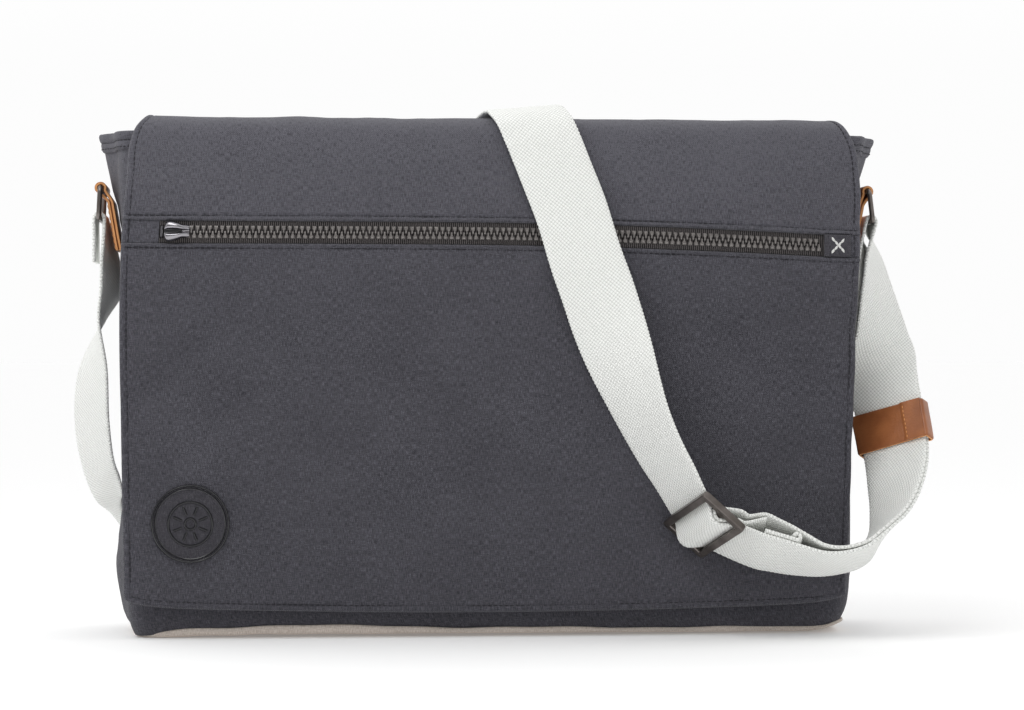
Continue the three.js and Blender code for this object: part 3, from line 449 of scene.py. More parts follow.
# Materials
class Finish:
    """A material and short ways to add nodes to it"""

    def __init__(self, name, roughness=0.8, metallic=0.0):
        self.material = bpy.data.materials.new(name)
        self.material.use_nodes = True
        self.tree = self.material.node_tree
        self.shader = self.tree.nodes["Principled BSDF"]
        self.shader.inputs["Roughness"].default_value = roughness
        self.shader.inputs["Metallic"].default_value = metallic

    def node(self, kind, *values, **settings):
        made = self.tree.nodes.new("ShaderNode" + kind)
        for key, value in settings.items():
            if key in made.inputs:
                self.put(made.inputs[key], value)
            else:
                setattr(made, key, value)
        for socket, value in zip(made.inputs, values):
            self.put(socket, value)
        return made

    def put(self, socket, value):
        if isinstance(value, bpy.types.NodeSocket):
            self.tree.links.new(value, socket)
        elif value is not None:
            socket.default_value = value

    def math(self, operation, a, b=0.0):
        return self.node("Math", a, b, operation=operation).outputs[0]

    def weave(self, across=1.0, along=1.0):
        """Weave coordinates, scaled"""
        place = self.node("UVMap", uv_map="weave").outputs[0]
        return self.node("VectorMath", place, (across, along, 1.0), operation="MULTIPLY").outputs[0]

    def place(self, scale=1.0):
        """Object coordinates, scaled"""
        place = self.node("TexCoord").outputs["Object"]
        return self.node("VectorMath", place, (scale, scale, scale), operation="MULTIPLY").outputs[0]

    def noise(self, vector, detail=2.0):
        return self.node("TexNoise", Vector=vector, Scale=1.0, Detail=detail).outputs["Fac"]

    def total(self, *terms):
        """Sum of values, each times its share"""
        scaled = [self.math("MULTIPLY", value, share) for value, share in terms]
        result = scaled[0]
        for value in scaled[1:]:
            result = self.math("ADD", result, value)
        return result

    def ramp(self, value, *stops):
        """Colours of a value between stops of (place, colour)"""
        made = self.node("ValToRGB", value)
        elements = made.color_ramp.elements
        while len(elements) < len(stops):
            elements.new(0.5)
        for element, (place, colour) in zip(elements, stops):
            element.position = place
            element.color = (*colour, 1)
        return made.outputs[0]

    def colour(self, value):
        self.put(self.shader.inputs["Base Color"], (*value, 1) if isinstance(value, tuple) else value)

    def bump(self, height, distance, strength=1.0):
        made = self.node("Bump", Height=height, Distance=distance, Strength=strength)
        self.tree.links.new(made.outputs[0], self.shader.inputs["Normal"])

    def sheen(self, weight):
        self.shader.inputs["Sheen Weight"].default_value = weight


def waves(finish, vector):
    """Product of two sines, across and along"""
    split = finish.node("SeparateXYZ", vector)
    return finish.math("MULTIPLY", *(finish.math("SINE", split.outputs[k]) for k in (0, 1)))


def threads(finish, pitch):
    """Height of a plain weave: threads that go over and under each other"""
    return waves(finish, finish.weave(math.pi / pitch, math.pi / pitch))


# Above a height the cloth's colour is painted lighter, standing for light from above; its colour is mixed from threads
# of three tones
painted_light_from = 0.185
painted_light_share = 0.95
canvas_pitch = 0.62 * MM


def canvas(name, dark, middle, light):
    finish = Finish(name, roughness=0.92)
    warp = finish.noise(finish.weave(3000, 330), detail=3)
    weft = finish.noise(finish.weave(330, 3000), detail=3)
    cloudy = finish.noise(finish.weave(26, 26), detail=2)
    melange = finish.total((warp, 0.54), (weft, 0.39), (cloudy, 0.07))
    place = finish.node("SeparateXYZ", finish.node("NewGeometry").outputs["Position"])
    # Painted light from above: the colour gets lighter with height over a set level
    high = finish.math("MAXIMUM", finish.math("SUBTRACT", place.outputs[2], painted_light_from), 0.0)
    shade = finish.math("ADD", melange, finish.math("MULTIPLY", high, painted_light_share))
    finish.colour(finish.ramp(shade, (0.39, dark), (0.5, middle), (0.61, light)))
    finish.bump(finish.total((threads(finish, canvas_pitch), 1.0), (melange, 2.0)), 0.12 * MM)
    finish.sheen(0.12)
    return finish.material


def webbing():
    finish = Finish("webbing", roughness=0.85)
    pitch = 1.55 * MM
    turned = finish.node("Mapping", finish.node("UVMap", uv_map="weave").outputs[0])
    turned.inputs["Rotation"].default_value = (0, 0, math.radians(32))
    scaled = finish.node("VectorMath", turned.outputs[0], (math.pi / pitch,) * 3, operation="MULTIPLY")
    dots = finish.math("ABSOLUTE", waves(finish, scaled.outputs[0]))
    fuzz = finish.noise(finish.weave(1900, 1900), detail=3)
    # The colour follows the weave's height, darker in its hollows: painted shade; the fuzz is random tone
    shade = finish.total((dots, 0.75), (fuzz, 0.25))
    stops = (0.05, (0.46, 0.47, 0.44)), (0.28, (0.88, 0.89, 0.86)), (0.75, (0.98, 0.99, 0.96))
    finish.colour(finish.ramp(shade, *stops))
    finish.bump(shade, 0.35 * MM)
    finish.sheen(0.2)
    return finish.material


def leather(name, dark, light, roughness=0.48):
    finish = Finish(name, roughness=roughness)
    mottle = finish.noise(finish.place(60), detail=4)
    finish.colour(finish.ramp(mottle, (0.3, dark), (0.7, light)))
    grain = finish.node("TexVoronoi", Vector=finish.place(1), Scale=900.0).outputs["Distance"]
    fine = finish.noise(finish.place(700), detail=3)
    finish.bump(finish.math("ADD", grain, fine), 0.12 * MM, 0.6)
    return finish.material


def metal(name, dark, light, roughness):
    finish = Finish(name, roughness=roughness, metallic=1.0)
    cloud = finish.noise(finish.place(90), detail=4)
    finish.colour(finish.ramp(cloud, (0.35, dark), (0.65, light)))
    rough = finish.noise(finish.place(260), detail=4)
    spread = finish.node("MapRange", rough, 0.0, 1.0, roughness * 0.75, roughness * 1.3)
    finish.put(finish.shader.inputs["Roughness"], spread.outputs[0])
    finish.bump(finish.noise(finish.place(1500), detail=2), 0.03 * MM)
    return finish.material


def plain(name, dark, light, roughness, scale=900, metallic=0.0, depth=0.05 * MM):
    finish = Finish(name, roughness=roughness, metallic=metallic)
    speckle = finish.noise(finish.place(scale), detail=3)
    finish.colour(finish.ramp(speckle, (0.3, dark), (0.7, light)))
    finish.bump(speckle, depth)
    return finish.material


def ribbed_tape():
    finish = Finish("zip_tape", roughness=0.9)
    split = finish.node("SeparateXYZ", finish.weave(2 * math.pi / (1.1 * MM), 1.0))
    rib = finish.math("SINE", split.outputs[0])
    # The colour follows the ribs' height, lighter on their tops and darker between them: painted light and shade
    finish.colour(finish.ramp(rib, (0.2, (0.022, 0.020, 0.020)), (0.9, (0.19, 0.17, 0.17))))
    finish.bump(rib, 0.25 * MM)
    return finish.material


canvas_blue = canvas("canvas", (0.024, 0.023, 0.031), (0.056, 0.0545, 0.067), (0.112, 0.110, 0.131))
canvas_seam = canvas("canvas_seam", (0.022, 0.021, 0.028), (0.041, 0.039, 0.048), (0.075, 0.071, 0.083))
canvas_cream = canvas("cream_canvas", (0.60, 0.51, 0.44), (0.75, 0.66, 0.59), (0.86, 0.78, 0.71))
web_cloth = webbing()
tan_face = leather("tan_leather", (0.36, 0.105, 0.030), (0.50, 0.17, 0.055))
tan_edge = leather("tan_edge", (0.64, 0.27, 0.085), (0.80, 0.40, 0.16), 0.6)
brown_face = leather("brown_leather", (0.235, 0.074, 0.024), (0.42, 0.150, 0.052), 0.32)
gun_metal = metal("gunmetal", (0.135, 0.118, 0.108), (0.225, 0.20, 0.188), 0.36)
black_nickel = metal("black_nickel", (0.30, 0.29, 0.31), (0.36, 0.35, 0.37), 0.16)
tooth_finish = plain("zip_teeth", (0.14, 0.13, 0.125), (0.27, 0.25, 0.24), 0.34, metallic=0.45)
tape_finish = ribbed_tape()
thread_dark = plain("thread", (0.012, 0.011, 0.015), (0.026, 0.025, 0.032), 0.8, 2500)
thread_white = plain("white_thread", (0.62, 0.62, 0.60), (0.80, 0.80, 0.78), 0.7, 2500)
thread_tan = plain("tan_thread", (0.50, 0.22, 0.08), (0.62, 0.30, 0.13), 0.7, 2500)
# Near-black gloss: the badge's print, and painted shade in the slider's middle groove
gloss_print_and_shade = plain("badge_gloss_and_slider_shade", (0.008, 0.008, 0.010), (0.014, 0.014, 0.017), 0.16, 200, depth=0.01 * MM)


# Body: outlines at heights
def body_size(z):
    row = read_table(body_rows, "up", z / bag_height)
    return row["width"] * body_half_width, row["depth"] * body_half_depth, row["bow"] * body_half_width


def sway_at(z):
    return read_table(body_rows, "up", z / bag_height)["sway"] * body_half_width


def front_outline(z, inset, arc_steps=8, straight_steps=72):
    width, depth, _ = body_size(z)
    radius = corner_radius - inset
    reach = width - corner_radius
    turns = np.linspace(math.pi, 1.5 * math.pi, arc_steps + 1)
    left = np.stack([-reach + radius * np.cos(turns), -depth + corner_radius + radius * np.sin(turns)], 1)
    x = np.linspace(-reach, reach, straight_steps + 1)[1:-1]
    front = np.stack([x, -depth + inset - front_bulge * np.cos(math.pi * x / (2 * reach))], 1)
    right = left[::-1] * [-1, 1]
    return np.concatenate([left, front, right])


def side_outline(z, inset, steps=20):
    width, depth, bow = body_size(z)
    reach = depth - corner_radius - seam_gap
    y = np.linspace(-reach, reach, steps + 1)
    return np.stack([width - inset + bow * np.cos(math.pi * y / (2 * reach)) ** 2, y], 1)


wall_bottom = base_wall + seam_gap
level_heights = np.concatenate([
    np.linspace(wall_bottom, base_edge + base_wall, 8),
    np.linspace(base_edge + base_wall, bag_height - hem_band, 62)[1:],
    np.linspace(bag_height - hem_band, bag_height, 6)[1:],
])

# Cream edge along the front, from left to right: its height, and how far it is lifted off the floor
edge_heights = table(["x", "height", "rise"], [
    [-202, 0.8, 0], [-189, 1.1, 0], [-179, 3, 0.1], [-168, 4.2, 0.3], [-155, 4.2, 1], [-141, 5, 0.8],
    [-128, 5, 1.5], [-109, 5.6, 1.2], [-92, 5, 1.5], [-70, 4.8, 1.1], [-50, 4.3, 1.3], [-15, 3.7, 1.2],
    [50, 3.2, 1], [111, 3, 0.8], [160, 2.8, 0.7], [175, 2.8, 0.8], [184, 2.6, 2], [190, 2.3, 3.9],
    [196, 2.2, 5.2], [202, 2.2, 5.8],
])
foot_round = 2.6 * MM
foot_height = 13 * MM
corner_drop = 1.7 * MM
shown_height = 3.5 * MM


def edge_at(x, y):
    """Height and rise of the cream edge at places round the foot of the bag"""
    row = read_table(edge_heights, "x", np.clip(x / MM, -202, 202))
    front = smoothstep(-y, 6 * MM, 34 * MM)
    return base_edge + (row["height"] * MM - base_edge) * front, row["rise"] * MM * front


def foot_inset(z):
    return foot_round * np.clip(1 - z / foot_height, 0, 1) ** 2


def wall_panel(name, outline, flip, bulge, node):
    """One cloth wall of the bag; flip turns it to its side, bulge is how uneven the cloth is"""
    def grid(inset):
        levels = []
        for z in level_heights:
            points = outline(z, inset + foot_inset(z))
            along = lengths_along(points)
            free = smoothstep(z, base_edge, 40 * MM) * smoothstep(bag_height - z, hem_band, 40 * MM)
            ends = smoothstep(np.minimum(along, along[-1] - along), 0, 20 * MM)
            normal = unit(np.stack([-np.gradient(points[:, 1]), np.gradient(points[:, 0])], 1))
            points = points + normal * (ripples(along + 0.3, z, bulge) * free * ends)[:, None]
            placed = np.column_stack([points, np.full(len(points), z)]) * flip + sway_at(z) * X
            height, rise = edge_at(placed[:, 0], placed[:, 1])
            bare = np.clip(1 - height / shown_height, 0, 1)
            placed[:, 2] += (rise - corner_drop * bare) * (1 - smoothstep(z, 2 * MM, 26 * MM))
            levels.append(placed)
        return np.array(levels)
    outer, inner = grid(0), grid(cloth_wall)
    across = np.array([lengths_along(row) for row in outer])
    part = wall_part(outer, inner, pairs(across, level_heights[:, None]))
    make_piece(name, [part], [canvas_blue], [node])


for name, outline, flip, bulge, node in (
    ("front_canvas", front_outline, (1, 1, 1), 0.5 * MM, "front_panel"),
    ("back_canvas", front_outline, (1, -1, 1), 0.9 * MM, "back_panel"),
    ("side_canvas_right", side_outline, (1, 1, 1), 0.8 * MM, "gusset_right"),
    ("side_canvas_left", side_outline, (-1, 1, 1), 0.8 * MM, "gusset_left"),
):
    wall_panel(name, outline, flip, bulge, node)


def loop_outline(z, offset):
    front = front_outline(z, -offset, 8, 120)
    side = side_outline(z, -offset)[1:-1]
    return np.concatenate([front, side, -front, -side])


def body_loop(z, offset, lift=0.0):
    outline = loop_outline(z, offset)
    return np.column_stack([outline, np.full(len(outline), z) + lift]) + sway_at(z) * X


def base_piece():
    """Cream base: a shallow tray whose soft edge hugs the foot of the bag"""
    foot = body_loop(0, 0)
    out = (body_loop(0, 1 * MM) - foot) / MM
    count = len(foot)
    height, rise = edge_at(foot[:, 0], foot[:, 1])
    shown = np.clip(height / shown_height, 0, 1)
    turn = np.arange(count) / count
    wave = base_wave * (np.sin(2 * math.pi * base_waves * turn) + 0.5 * np.sin(2 * math.pi * 23 * turn + 1))
    profile = table(["up", "offset"], [
        [0, -10], [0, 0.2], [0.04, 1], [0.14, 1.9], [0.32, 2.3], [0.6, 2.3], [0.85, 1.9], [0.97, 1.4], [1, 0.9],
        [0.97, 0.2], [0.8, -0.6], [0.45, -1.4], [0.4, -10],
    ])
    grid = []
    for up, offset in zip(profile["up"], profile["offset"]):
        z = rise + up * (height + wave * shown)
        away = offset * MM * shown - foot_inset(z) - (1 - shown) * MM
        grid.append(foot + out * away[:, None] + z[:, None] * Z)
    grid = np.array(grid)
    along = lengths_along(grid[4])
    down = lengths_along(grid[:, count // 2])
    weave = pairs(along[None], down[:, None])
    points = np.concatenate([grid[:1] * 0, grid, grid[-1:] * 0 + base_wall * Z])
    weave = np.concatenate([weave[:1], weave, weave[-1:]])
    part = (points.reshape(-1, 3), quads(len(points), count, False, True), weave.reshape(-1, 2), 0)
    make_piece("cream_base", [part], [canvas_cream], ["base_panel"], 50)


base_piece()


def stitch_form(length, radius):
    """One stitch: a short thread that dips at both ends"""
    along = np.linspace(-1, 1, 6)
    turns = np.arange(6) * math.pi / 3
    thick = radius * np.sqrt(np.maximum(1 - along**2, 0.06))
    rise = -0.5 * radius * along**2
    ring = np.stack(np.broadcast_arrays(
        along[:, None] * length / 2,
        thick[:, None] * np.cos(turns),
        thick[:, None] * np.sin(turns) + rise[:, None],
    ), -1)
    return tube_part(ring)


def stitches(path, normals, pitch=3.0 * MM, share=0.78, radius=0.32 * MM, number=0):
    """Row of stitches along a path that lies on cloth with these normals"""
    along = lengths_along(path)
    places = np.arange(pitch / 2, along[-1], pitch)
    at = np.stack([np.interp(places, along, path[:, k]) for k in range(3)], 1)
    up = unit(np.stack([np.interp(places, along, normals[:, k]) for k in range(3)], 1))
    reach = pitch * share / 2
    before, after = (
        np.stack([np.interp(places + side * reach, along, path[:, k]) for k in range(3)], 1) for side in (-1, 1)
    )
    run = unit(after - before)
    bases = np.stack([run, unit(np.cross(up, run)), up], 1)
    return scatter_part(stitch_form(pitch * share, radius), at, bases, number)


def rim_piece():
    """Stitched band round the open top: a rolled edge over a narrower band"""
    band = table(["down", "offset"], [
        [0.4, -1.6], [-0.1, -0.6], [-0.2, 0.4], [0.3, 1.3], [1.4, 1.8], [3, 1.8], [4.4, 1.45], [4.9, 0.75],
        [5.4, 1.25], [6.6, 1.45], [8.6, 1.35], [9.7, 1], [10.1, 0.55], [10, 0.3], [5, 0.25], [1.2, 0.25],
        [0.8, 0], [0.9, -1.6],
    ])
    grid = np.array([
        body_loop(bag_height - max(down, 0) * MM, offset * MM, max(-down, 0) * MM)
        for down, offset in zip(band["down"], band["offset"])
    ])
    wobble = ripples(lengths_along(grid[4]) * 2, 0.1, 0.35 * MM)
    grid[:, :, 2] += np.minimum(wobble, 0)
    along = lengths_along(grid[4])
    weave = pairs(along[:, None], lengths_along(grid[:, 0])[None])
    part = tube_part(grid.transpose(1, 0, 2), weave, loop=True)
    make_piece("rim_band", [part], [canvas_blue], ["rim_hem"], 60)
    rows = []
    for depth, offset in ((4.9, 0.95), (8.4, 1.5)):
        path = body_loop(bag_height - depth * MM, offset * MM)
        out = unit(body_loop(bag_height - depth * MM, (offset + 1) * MM) - path)
        closed = np.concatenate([path, path[:1]])
        rows.append(stitches(closed, np.concatenate([out, out[:1]]), 2.8 * MM))
    make_piece("rim_stitching", rows, [thread_dark])


rim_piece()


# Flap
def crease_at(x, z):
    depth = np.zeros(np.broadcast(x, z).shape)
    for row in zip(*crease_rows.values()):
        ax, bx = row[0] * flap_half_width, row[2] * flap_half_width
        az, bz = row[1] * bag_height, row[3] * bag_height
        f = np.clip(((x - ax) * (bx - ax) + (z - az) * (bz - az)) / ((bx - ax) ** 2 + (bz - az) ** 2), 0, 1)
        away = np.hypot(x - ax - f * (bx - ax), z - az - f * (bz - az))
        depth += row[5] * fold_depth * np.exp(-((away / (row[4] * crease_spread)) ** 2))
    edge = smoothstep(x / flap_half_width, 0.8, 1)
    return depth + pucker_depth * edge * np.sin(2 * math.pi * z / pucker_pitch)


def flap_point(share, step, out=0.0):
    """Points of the flap at shares across, steps of its section and distances out of its face"""
    share, step, out = np.broadcast_arrays(*(np.asarray(v, float) for v in (share, step, out)))
    row = read_table(flap_rows, "step", step)
    nudge = 0.01
    nxt = read_table(flap_rows, "step", np.minimum(step + nudge, last_step))
    last = read_table(flap_rows, "step", np.maximum(step - nudge, 0))
    run_y = (nxt["depth"] - last["depth"]) * flap_half_depth
    run_z = (nxt["up"] - last["up"]) * bag_height
    size = np.hypot(run_y, run_z)
    x = share * np.where(share < 0, row["left"], row["right"]) * flap_half_width
    z = row["up"] * bag_height
    front = smoothstep(step, apex_step + 2, front_step + 1)
    sink = front * (edge_fall * np.abs(share) ** 6 + crease_at(x, z))
    push = out - sink
    y = row["depth"] * flap_half_depth + push * run_z / size
    return np.stack([x + flap_shift, y, z - push * run_y / size], -1)


fine_steps = np.linspace(apex_step, last_step, 6000)
fine_heights = read_table(flap_rows, "step", fine_steps)["up"] * bag_height


def step_at(z):
    """Step of the section at which the front of the flap is at a height"""
    return np.interp(-np.asarray(z), -fine_heights, fine_steps)


def on_flap(x, z, out):
    step = step_at(z)
    row = read_table(flap_rows, "step", step)
    return flap_point(x / (np.where(x < 0, row["left"], row["right"]) * flap_half_width), step, out)


def zip_line(x):
    along = np.clip((np.asarray(x) - zip_left) / (zip_right - zip_left), 0, 1)
    return zip_height + zip_slope * x + zip_bow * np.sin(math.pi * along**zip_bow_lean)


def on_zip(x, offset, out):
    return flap_point(x / flap_half_width, step_at(zip_line(x) + offset), out)


def rim_line(x):
    share = x / flap_half_width
    return flap_hem + hem_lift * share**2 + hem_corner_lift * np.abs(share) ** 24


edge_rows = table(["away", "out"], [
    [0, -1.5], [0.25, -0.75], [0.75, -0.15], [1.5, 0.25], [2.6, 0.25], [3.2, -0.12], [3.7, -0.38], [4.2, -0.1],
    [5, 0.02], [7, 0], [400, 0],
])
lip_rows = table(["away", "out"], [
    [0, -0.45], [0.2, 0.65], [0.8, 1.4], [1.6, 1.3], [2.2, 0.5], [2.6, 0.1], [3, 0.35], [4.2, 0.65],
    [5.6, 0.35], [7, 0],
])


def flap_piece():
    """Canvas flap: rows of points from its back edge over the top and past the zip's window to its hem"""
    half = window_height / 2
    left, right = zip_left / flap_half_width, zip_right / flap_half_width
    edge = np.array([*edge_rows["away"][:-1], 9.5, 12.0, 14.5]) * MM / flap_half_width
    sharp, clear = 0.15 * MM / flap_half_width, 1.2 * MM / flap_half_width
    inner = np.linspace(-1 + edge[-1], 1 - edge[-1], 148)[1:-1]
    inner = inner[(np.abs(inner - left) > clear) & (np.abs(inner - right) > clear)]
    steep = sharp * np.array([-4, 0, 1, 5])
    shares = np.unique(np.concatenate([-1 + edge, inner, left + steep, right - steep, 1 - edge]))
    x = shares * flap_half_width
    line, rim = zip_line(x), rim_line(x)
    rows = []

    def add(step, out=0.0, sunk=False):
        rows.append((np.broadcast_to(step, x.shape), np.broadcast_to(out, x.shape), sunk))

    for step in (0, 0.02, 0.06, 0.12, *np.linspace(0.2, front_step, 62)):
        add(step)
    start_height = read_table(flap_rows, "step", front_step)["up"] * bag_height
    lip_top = line + half + lip_height
    for f in np.linspace(0, 1, 18)[1:-1]:
        add(step_at(start_height + (lip_top - start_height) * f))
    wavy = 1 + 0.22 * np.sin(2 * math.pi * x / (11 * MM)) * np.sin(2 * math.pi * x / (37 * MM) + 1)
    lips = list(zip(lip_rows["away"], lip_rows["out"]))
    for away, out in lips[::-1]:
        add(step_at(line + half + away * MM), out * MM * wavy)
    for offset in np.linspace(half - 0.15 * MM, -half + 0.15 * MM, 7):
        add(step_at(line + offset), 0.1 * MM, True)
    for away, out in lips:
        add(step_at(line - half - away * MM), out * MM * wavy)
    low_top = line - half - lip_height
    low = np.concatenate([np.linspace(0, 1, 80)[1:-3], 1 - edge_rows["away"][8::-1] / 190])
    for f in np.unique(low):
        add(step_at(low_top + (rim - low_top) * f))
    steps, outs, recess = (np.array(column) for column in zip(*rows))
    share_grid = np.broadcast_to(shares, steps.shape)
    bare = flap_point(share_grid, steps)
    from_side = (1 - np.abs(share_grid)) * flap_half_width
    low_edge = np.where(steps > front_step + 2, bare[..., 2] - rim, 1.0)
    from_edge = np.minimum(from_side, np.maximum(low_edge, 0))
    hem = np.interp(from_edge / MM, edge_rows["away"], edge_rows["out"]) * MM
    in_window = recess[:, None] & (share_grid > left) & (share_grid < right)
    gaps = np.linalg.norm(np.diff(bare, axis=0), axis=2)
    along = np.cumsum(np.concatenate([np.zeros((1, len(shares))), gaps]), axis=0)
    uneven = ripples(bare[..., 0], along, 0.28 * MM)
    near_zip = np.exp(-(((bare[..., 2] - line) / (17 * MM)) ** 2)) * (steps > front_step)
    tugs = 0.22 * MM * near_zip * np.sin(2 * math.pi * bare[..., 0] / (19 * MM) + 2 * np.sin(bare[..., 0] / (23 * MM)))
    face = np.where(in_window, -window_depth, outs + hem + uneven + tugs)
    outer = flap_point(share_grid, steps, face)
    rounded = np.clip((1.5 * MM - from_edge) / (1.5 * MM), 0, 1)
    back = -flap_wall + flap_wall / 2 * (1 - np.sqrt(1 - rounded**2)) + uneven
    inner_face = flap_point(share_grid, steps, np.minimum(back, face - 0.3 * MM))
    part = wall_part(outer, inner_face, pairs(bare[..., 0], along))
    return make_piece("flap_canvas", [part], [canvas_blue], ["flap"], 50)


flap_cloth = flap_piece()


def flap_stitching():
    """Rows of stitches beside the zip's window, along the hem and the side edges, and at the back"""
    rows = []

    def sew(point, out):
        rows.append(stitches(point(out), unit(point(1 * MM) - point(0))))

    x = np.linspace(-flap_half_width + 3 * MM, flap_half_width * 0.975, 200)
    for side in (1, -1):
        z = zip_line(x) + side * (window_height / 2 + 2.6 * MM)
        sew(lambda out: on_flap(x, z, out), 0.25 * MM)
    x = np.linspace(-flap_half_width * 0.975, flap_half_width * 0.92, 200)
    sew(lambda out: on_flap(x, rim_line(x) + hem_stitch, out), -0.2 * MM)
    steps = np.concatenate([
        np.linspace(0.3, front_step, 60), np.linspace(front_step, last_step - 0.3, 120)[1:],
    ])
    for side in (-1, 1):
        share = side * (1 - hem_stitch / flap_half_width)
        path = flap_point(share, steps, -0.2 * MM)
        kept = (steps < front_step) | (path[:, 2] > rim_line(path[:, 0]) + 9 * MM)
        sew(lambda out: flap_point(share, steps, out)[kept], -0.2 * MM)
    for step in (0.08, 0.22):
        sew(lambda out: flap_point(np.linspace(-0.97, 0.97, 120), step, out), 0.25 * MM)
    return make_piece("flap_stitching", rows, [thread_dark])


flap_threads = flap_stitching()


# Zip
def zip_grid(x, offsets, out):
    return on_zip(x[:, None], offsets[None], out)


def tape_piece():
    half = window_height / 2 - seam_gap
    x = np.linspace(zip_left + seam_gap, zip_right - seam_gap, 180)
    offsets = np.linspace(-half, half, 12)
    cord = 0.35 * MM * np.exp(-(((np.abs(offsets) - chain_width / 2 - 0.4 * MM) / (0.7 * MM)) ** 2))
    outer = zip_grid(x, offsets, tape_top + cord)
    inner = zip_grid(x, offsets, tape_top - tape_wall)
    part = wall_part(outer, inner, pairs(x[:, None], offsets[None]))
    make_piece("tape_cloth", [part], [tape_finish], ["zip_tape"])


def tooth_form(width, length, height):
    """One moulded tooth: a broad foot, a neck and a small head, with rounded top edges"""
    rows = table(["along", "width", "height"], [
        [0, 0.7, 0.55], [0.06, 0.95, 0.85], [0.16, 1, 1], [0.38, 0.96, 1], [0.5, 0.62, 0.95],
        [0.6, 0.4, 0.92], [0.8, 0.4, 0.9], [0.9, 0.44, 0.8], [1, 0.26, 0.45],
    ])
    section = np.array([[-1, 0], [-1, 0.62], [-0.72, 1], [0.72, 1], [1, 0.62], [1, 0]])
    grid = np.array([
        [[side * w * width / 2, a * length, up * h * height] for side, up in section]
        for a, w, h in zip(rows["along"], rows["width"], rows["height"])
    ])
    return tube_part(grid)


def teeth_piece():
    start = zip_left + stop_length + slider_length
    end = zip_right - 2 * seam_gap
    form = tooth_form(2.5 * MM, 4.1 * MM, chain_rise + tooth_relief)
    foot = tape_top + seam_gap / 2
    parts = []
    for side in (1, -1):
        x = np.arange(start + (tooth_pitch / 2 if side > 0 else 0), end - tooth_pitch / 2, tooth_pitch)
        place = on_zip(x, side * chain_width / 2, foot)
        run = unit(on_zip(x + 1 * MM, side * chain_width / 2, foot) - place)
        inwards = unit(on_zip(x, side * (chain_width / 2 - 1 * MM), foot) - place)
        up = unit(np.cross(run, inwards)) * side
        up = np.where((up[:, 1:2] > 0), -up, up)
        parts.append(scatter_part(form, place, np.stack([run, inwards, up], 1)))
    make_piece("teeth", parts, [tooth_finish], ["zip_teeth"], 35)


slider_rows = table(["along", "width", "height"], [
    [0, 0.62, 0.45], [0.08, 0.92, 0.7], [0.25, 1, 0.95], [0.5, 0.86, 1], [0.72, 0.66, 0.85],
    [0.92, 0.62, 0.6], [1, 0.58, 0.4],
])
slider_section = table(["share", "height"], [
    [-1, 0.2], [-0.94, 0.5], [-0.8, 0.82], [-0.52, 1], [-0.32, 0.88], [-0.2, 0.4], [0, 0.3],
    [0.2, 0.4], [0.32, 0.88], [0.52, 1], [0.8, 0.82], [0.94, 0.5], [1, 0.2],
])
# Share across and reach along of the slider's middle groove, whose faces take the near-black gloss as painted shade
groove_shade_share, groove_shade_reach = 0.22, 0.72


def slider_piece():
    start = zip_left + stop_length + 2 * seam_gap
    foot = tape_top + 2 * seam_gap + chain_rise + tooth_relief
    along = np.concatenate([[0, 0.02], np.linspace(0.05, 0.95, 25), [0.98, 1]])
    rows = read_table(slider_rows, "along", along)
    shares = np.linspace(-1, 1, 41)
    section = read_table(slider_section, "share", shares)["height"]
    x = start + along * slider_length
    offsets = shares[None] * rows["width"][:, None] * slider_width / 2
    height = rows["height"][:, None] * section[None] * slider_height
    outer = on_zip(x[:, None], offsets, foot + height)
    inner = on_zip(x[:, None], offsets, foot)

    # Faces in the middle groove take the near-black gloss: painted shade in the hollow between the lobes
    def groove_shade_faces(faces):
        row, column = np.divmod(faces, len(shares))
        return (np.abs(shares[column]) < groove_shade_share).all(1) & (row < groove_shade_reach * len(along)).all(1)

    parts = split_part(wall_part(outer, inner), groove_shade_faces)
    make_piece("slider", parts, [black_nickel, gloss_print_and_shade], ["zip_slider"], 45)


def stop_piece():
    x = np.linspace(zip_left + 2 * seam_gap, zip_left + stop_length, 7)
    half = chain_width / 2
    offsets = np.linspace(-half, half, 12)
    foot = tape_top + seam_gap
    crown = np.sqrt(np.clip(1 - np.linspace(-1, 1, 7) ** 4, 0.1, 1))
    ends = np.clip((half - np.abs(offsets)) / (0.5 * MM), 0.35, 1)
    height = (chain_rise + tooth_relief) * crown[:, None] * ends[None]
    part = wall_part(zip_grid(x, offsets, foot + height), zip_grid(x, offsets, foot))
    make_piece("stop", [part], [black_nickel], ["zip_stop"])


def end_tab_piece():
    """Cloth tab over the right end of the zip, held by a cross stitch"""
    begin = zip_right - seam_gap
    x = np.linspace(begin, begin + end_tab_length, 34)
    half = end_tab_height / 2
    offsets = np.linspace(-half, half, 28)
    foot = lip_rise + 2 * seam_gap
    near = np.minimum(np.minimum(x - x[0], x[-1] - x)[:, None], (half - np.abs(offsets))[None]) / MM
    puff = end_tab_wall - 0.55 * MM * np.clip(1 - near / 0.8, 0, 1) ** 2
    part = wall_part(zip_grid(x, offsets, foot + puff), zip_grid(x, offsets, foot), pairs(x[:, None], offsets[None]))
    make_piece("end_tab_cloth", [part], [canvas_seam], ["zip_end_tab"])
    centre, reach, top = begin + end_tab_length * 0.52, 3.9 * MM, foot + end_tab_wall
    parts = []
    for lean in (-1, 1):
        f = np.linspace(-1, 1, 12)
        path_x, path_up = centre + f * reach, lean * f * reach * 1.05
        path = on_zip(path_x, path_up, top + 0.1 * MM)
        normal = unit(on_zip(path_x, path_up, top + 1 * MM) - on_zip(path_x, path_up, top))
        for shift in (-0.35, 0.35):
            parts.append(stitches(path + shift * MM * Z, normal, 2.6 * MM, 1.05, 0.42 * MM))
    make_piece("cross_stitch", parts, [thread_white])


tape_piece()
teeth_piece()
slider_piece()
stop_piece()
end_tab_piece()


